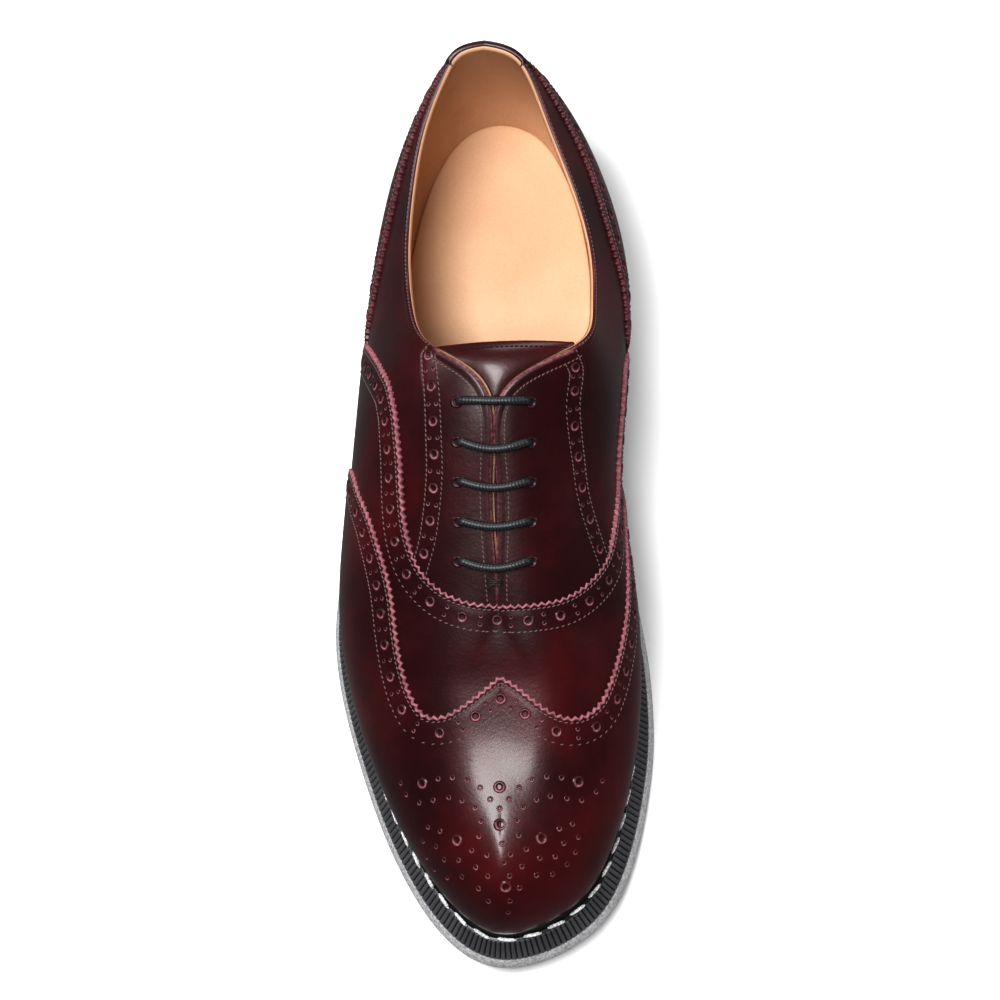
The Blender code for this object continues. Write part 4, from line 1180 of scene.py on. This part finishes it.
ribs = int(round(edge_way[-1] / rib_pitch))
rib_way = ((np.arange(ribs)[:, None] + rib_rows[:, 0]) * edge_way[-1] / ribs).reshape(-1)
rib_where = np.append(np.interp(rib_way, edge_way, edge_where), round_trip)
rib_cut = np.append(np.tile(rib_rows[:, 1], ribs), 1.0)
rib_top = seat_level(rim(rib_where, rib_top_share)[:, 1]) - 0.0002
rib_foot = bottom_level(rim(rib_where, rib_foot_share)[:, 1]) + rib_foot_height
side_rows = []
for share_out, base, lift, depth in side_profile:
    row = rim(rib_where, share_out)
    if base is None:
        row[:, 2] = rib_top * (1 - lift) + rib_foot * lift
    else:
        row[:, 2] = (bottom_level(row[:, 1]) if base else seat_level(row[:, 1])) + lift
    row[:, :2] -= outward(rib_where) * (rib_cut * rib_depth * depth)[:, None]
    side_rows.append(row)
pale = np.array([float(base == 1 and lift < 0.0066) for _, base, lift, _ in side_profile])
depths = np.array([depth for _, _, _, depth in side_profile])
under_edge = rim(np.linspace(0, round_trip, 721), 0.93)
under_spine = under_edge * [0, 1, 1]
under_spine[:, 1] = np.clip(under_edge[:, 1], -0.13, 0.13)
under_share = np.array([1.0, 0.9, 0.75, 0.5, 0.25, 0.0])[:, None, None]
under_rows = under_spine + (under_edge - under_spine) * under_share
under_rows[..., 2] = bottom_level(under_rows[..., 1])
sole_material, sole_shader, sole_base = material_of("grey_sole", Roughness=0.5)
rubber_speck = sole_base.noise(sole_base.own_place(), 1100.0, 3.0)
rubber_cloud = sole_base.noise(sole_base.own_place(), 60.0, 3.0)
dark_rubber = rubber_cloud.ramp(0.3, 0.7).blend((0.060, 0.060, 0.066), (0.085, 0.085, 0.092))
pale_rubber = rubber_speck.ramp(0.3, 0.7).blend((0.24, 0.24, 0.245), (0.46, 0.46, 0.46))
# Painted shade: the rib grooves, marked by the painted_shade tint, turn near black.
groove_shaded_rubber = sole_base.tint("painted_shade").blend(dark_rubber, (0.012, 0.012, 0.014))
drive(sole_base.tint("raw").blend(groove_shaded_rubber, pale_rubber), sole_shader, "Base Color")
drive(sole_base.bump(rubber_speck, 0.35, 0.0001), sole_shader, "Normal")
add_piece("unit_sole", [grid_part(np.stack(side_rows), raw=pale[:, None], painted_shade=depths[:, None] * rib_cut),
                        grid_part(under_rows, core=under_rows + [0, 0, 0.01])],
          sole_material, "grey_sole", "outsole")

# Laces
# One round waxed cotton lace, laced straight: five bars that dip into the blind eyelets. The
# braid shows as low ridges that cross round the cord, with painted shade in the valleys between them.
lace_radius = 0.00145
lace_sags = (0.0008, 0.0032, 0.0027, 0.0025, 0.0030)
lace_dip = 0.0042
slit_half = 0.0030
lace_turns = 28
lace_material, lace_shader, lace_base = material_of("waxed_cord", Roughness=0.42)
lace_speck = lace_base.noise(lace_base.own_place(), 1600.0, 2.0)
# Painted shade: the braid's valleys, marked by the painted_shade tint, turn near black.
lace_braid_shaded = lace_base.tint("painted_shade").blend((0.030, 0.031, 0.036), (0.006, 0.006, 0.007))
lace_wax = (lace_speck * 0.9).ramp(0.45, 0.85).blend(lace_braid_shaded, (0.055, 0.056, 0.062))
drive(lace_wax, lace_shader, "Base Color")


def facing_level(x, y):
    """Height of the facings' leather along a bar, level across the throat's slit."""
    heights = []
    for side in (-1, 1):
        edge_x = throat_axis + side * slit_half
        outer = np.maximum(side * (x - edge_x), 0) * side + edge_x
        start = np.stack([side * station_at(y), np.full(len(x), 4.7)], -1)
        spots = walk(on_heel, start, np.stack([outer, y, 0 * x], -1), only=(1, 1, 0))
        spots[..., 1] = np.minimum(spots[..., 1], level_spread)
        heights.append(rounded_wall(*on_heel(spots))[:, 2])
    surface = np.where(x < throat_axis, *heights)
    return np.convolve(np.pad(surface, 12, mode="edge"), np.ones(25) / 25, mode="valid")


for number, lace_sag in enumerate(lace_sags):
    share = np.linspace(-0.03, 1.03, 150)
    x = throat_axis + (share - 0.5) * eyelet_spread
    y = place(first_eyelet) - edge_centre[1] - number * eyelet_pitch - lace_sag * 4 * share * (1 - share)
    end = np.minimum(share + 0.03, 1.03 - share) * eyelet_spread
    lift = (facing_height + lace_radius * 1.02 + 0.0006 * smoothstep(end / 0.008)
            - lace_dip * (1 - smoothstep(end / 0.0026)))
    core = np.stack([x, y, facing_level(x, y) + lift], -1)
    turn = np.linspace(0, 2 * np.pi, lace_turns + 1)
    run = arc_length(core)[:, None]
    braid = np.cos(8 * turn + run * 3000) * np.cos(8 * turn - run * 3000)
    # The painted_shade tint is highest in the braid's valleys.
    add_piece(f"cord_{number + 1}", [tube_part(core, lace_radius * (0.97 + 0.05 * braid), lace_turns,
                                               painted_shade=np.clip(0.4 - braid * 0.8, 0, 1))],
              lace_material, "waxed_cord", f"lace_bar_{number + 1}")

# Floor, light and camera
# A plain white floor under soft studio light; the camera stands where the photographer's stood
# and is shifted to frame this one shoe.
lamps = (("key", (-0.24, -0.17, 1.42), (0.95, 0.42), 17.0),
         ("left", (-1.3, 0.4, 1.1), (0.4, 1.2), 5.0),
         ("right", (1.3, 0.3, 0.8), (0.3, 1.2), 4.0),
         ("rear", (0.1, 1.4, 1.2), (1.2, 0.4), 6.0))
floor_mesh = bpy.data.meshes.new("floor")
floor_mesh.from_pydata([(-3, -3, 0), (3, -3, 0), (3, 3, 0), (-3, 3, 0)], [], [(0, 1, 2, 3)])
floor_mesh.materials.append(material_of("floor", Base_Color=(0.93, 0.93, 0.93), Roughness=0.85)[0])
floor = bpy.data.objects.new("floor", floor_mesh)
bpy.context.scene.collection.objects.link(floor)
floor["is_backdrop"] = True
floor.visible_glossy = False
for name, spot, size, power in lamps:
    lamp = bpy.data.lights.new(name, "AREA")
    lamp.shape = "ELLIPSE"
    lamp.size, lamp.size_y = size
    lamp.energy = power
    stand = bpy.data.objects.new(name, lamp)
    stand.location = spot
    aim = np.array([0, 0, 0.03]) - np.array(spot)
    stand.rotation_euler = (np.arccos(-aim[2] / np.linalg.norm(aim)), 0,
                            np.arctan2(aim[1], aim[0]) - np.pi / 2)
    bpy.context.scene.collection.objects.link(stand)
world = bpy.data.worlds.new("studio")
world.use_nodes = True
sky = world.node_tree.nodes["Background"]
sky.inputs["Color"].default_value = (0.95, 0.95, 0.97, 1)
sky.inputs["Strength"].default_value = 0.16
bpy.context.scene.world = world
camera = bpy.data.objects.new("camera", bpy.data.cameras.new("camera"))
camera.location = (0.0624, -0.2971, 1.1591)
camera.rotation_euler = (np.radians(15.0), 0, 0)
camera.data.sensor_width = 36.0
camera.data.lens = 36.0 * 3.405
camera.data.shift_x = -0.174
camera.data.shift_y = 0.0
bpy.context.scene.collection.objects.link(camera)
bpy.context.scene.camera = camera
view = bpy.context.scene.view_settings
view.view_transform = "Standard"
view.look = "High Contrast"
view.exposure = 0.2

last_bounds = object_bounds()
"frame " + str([list(corner) for corner in first_bounds]) + chr(10)
"model " + str([list(corner) for corner in last_bounds]) + chr(10)
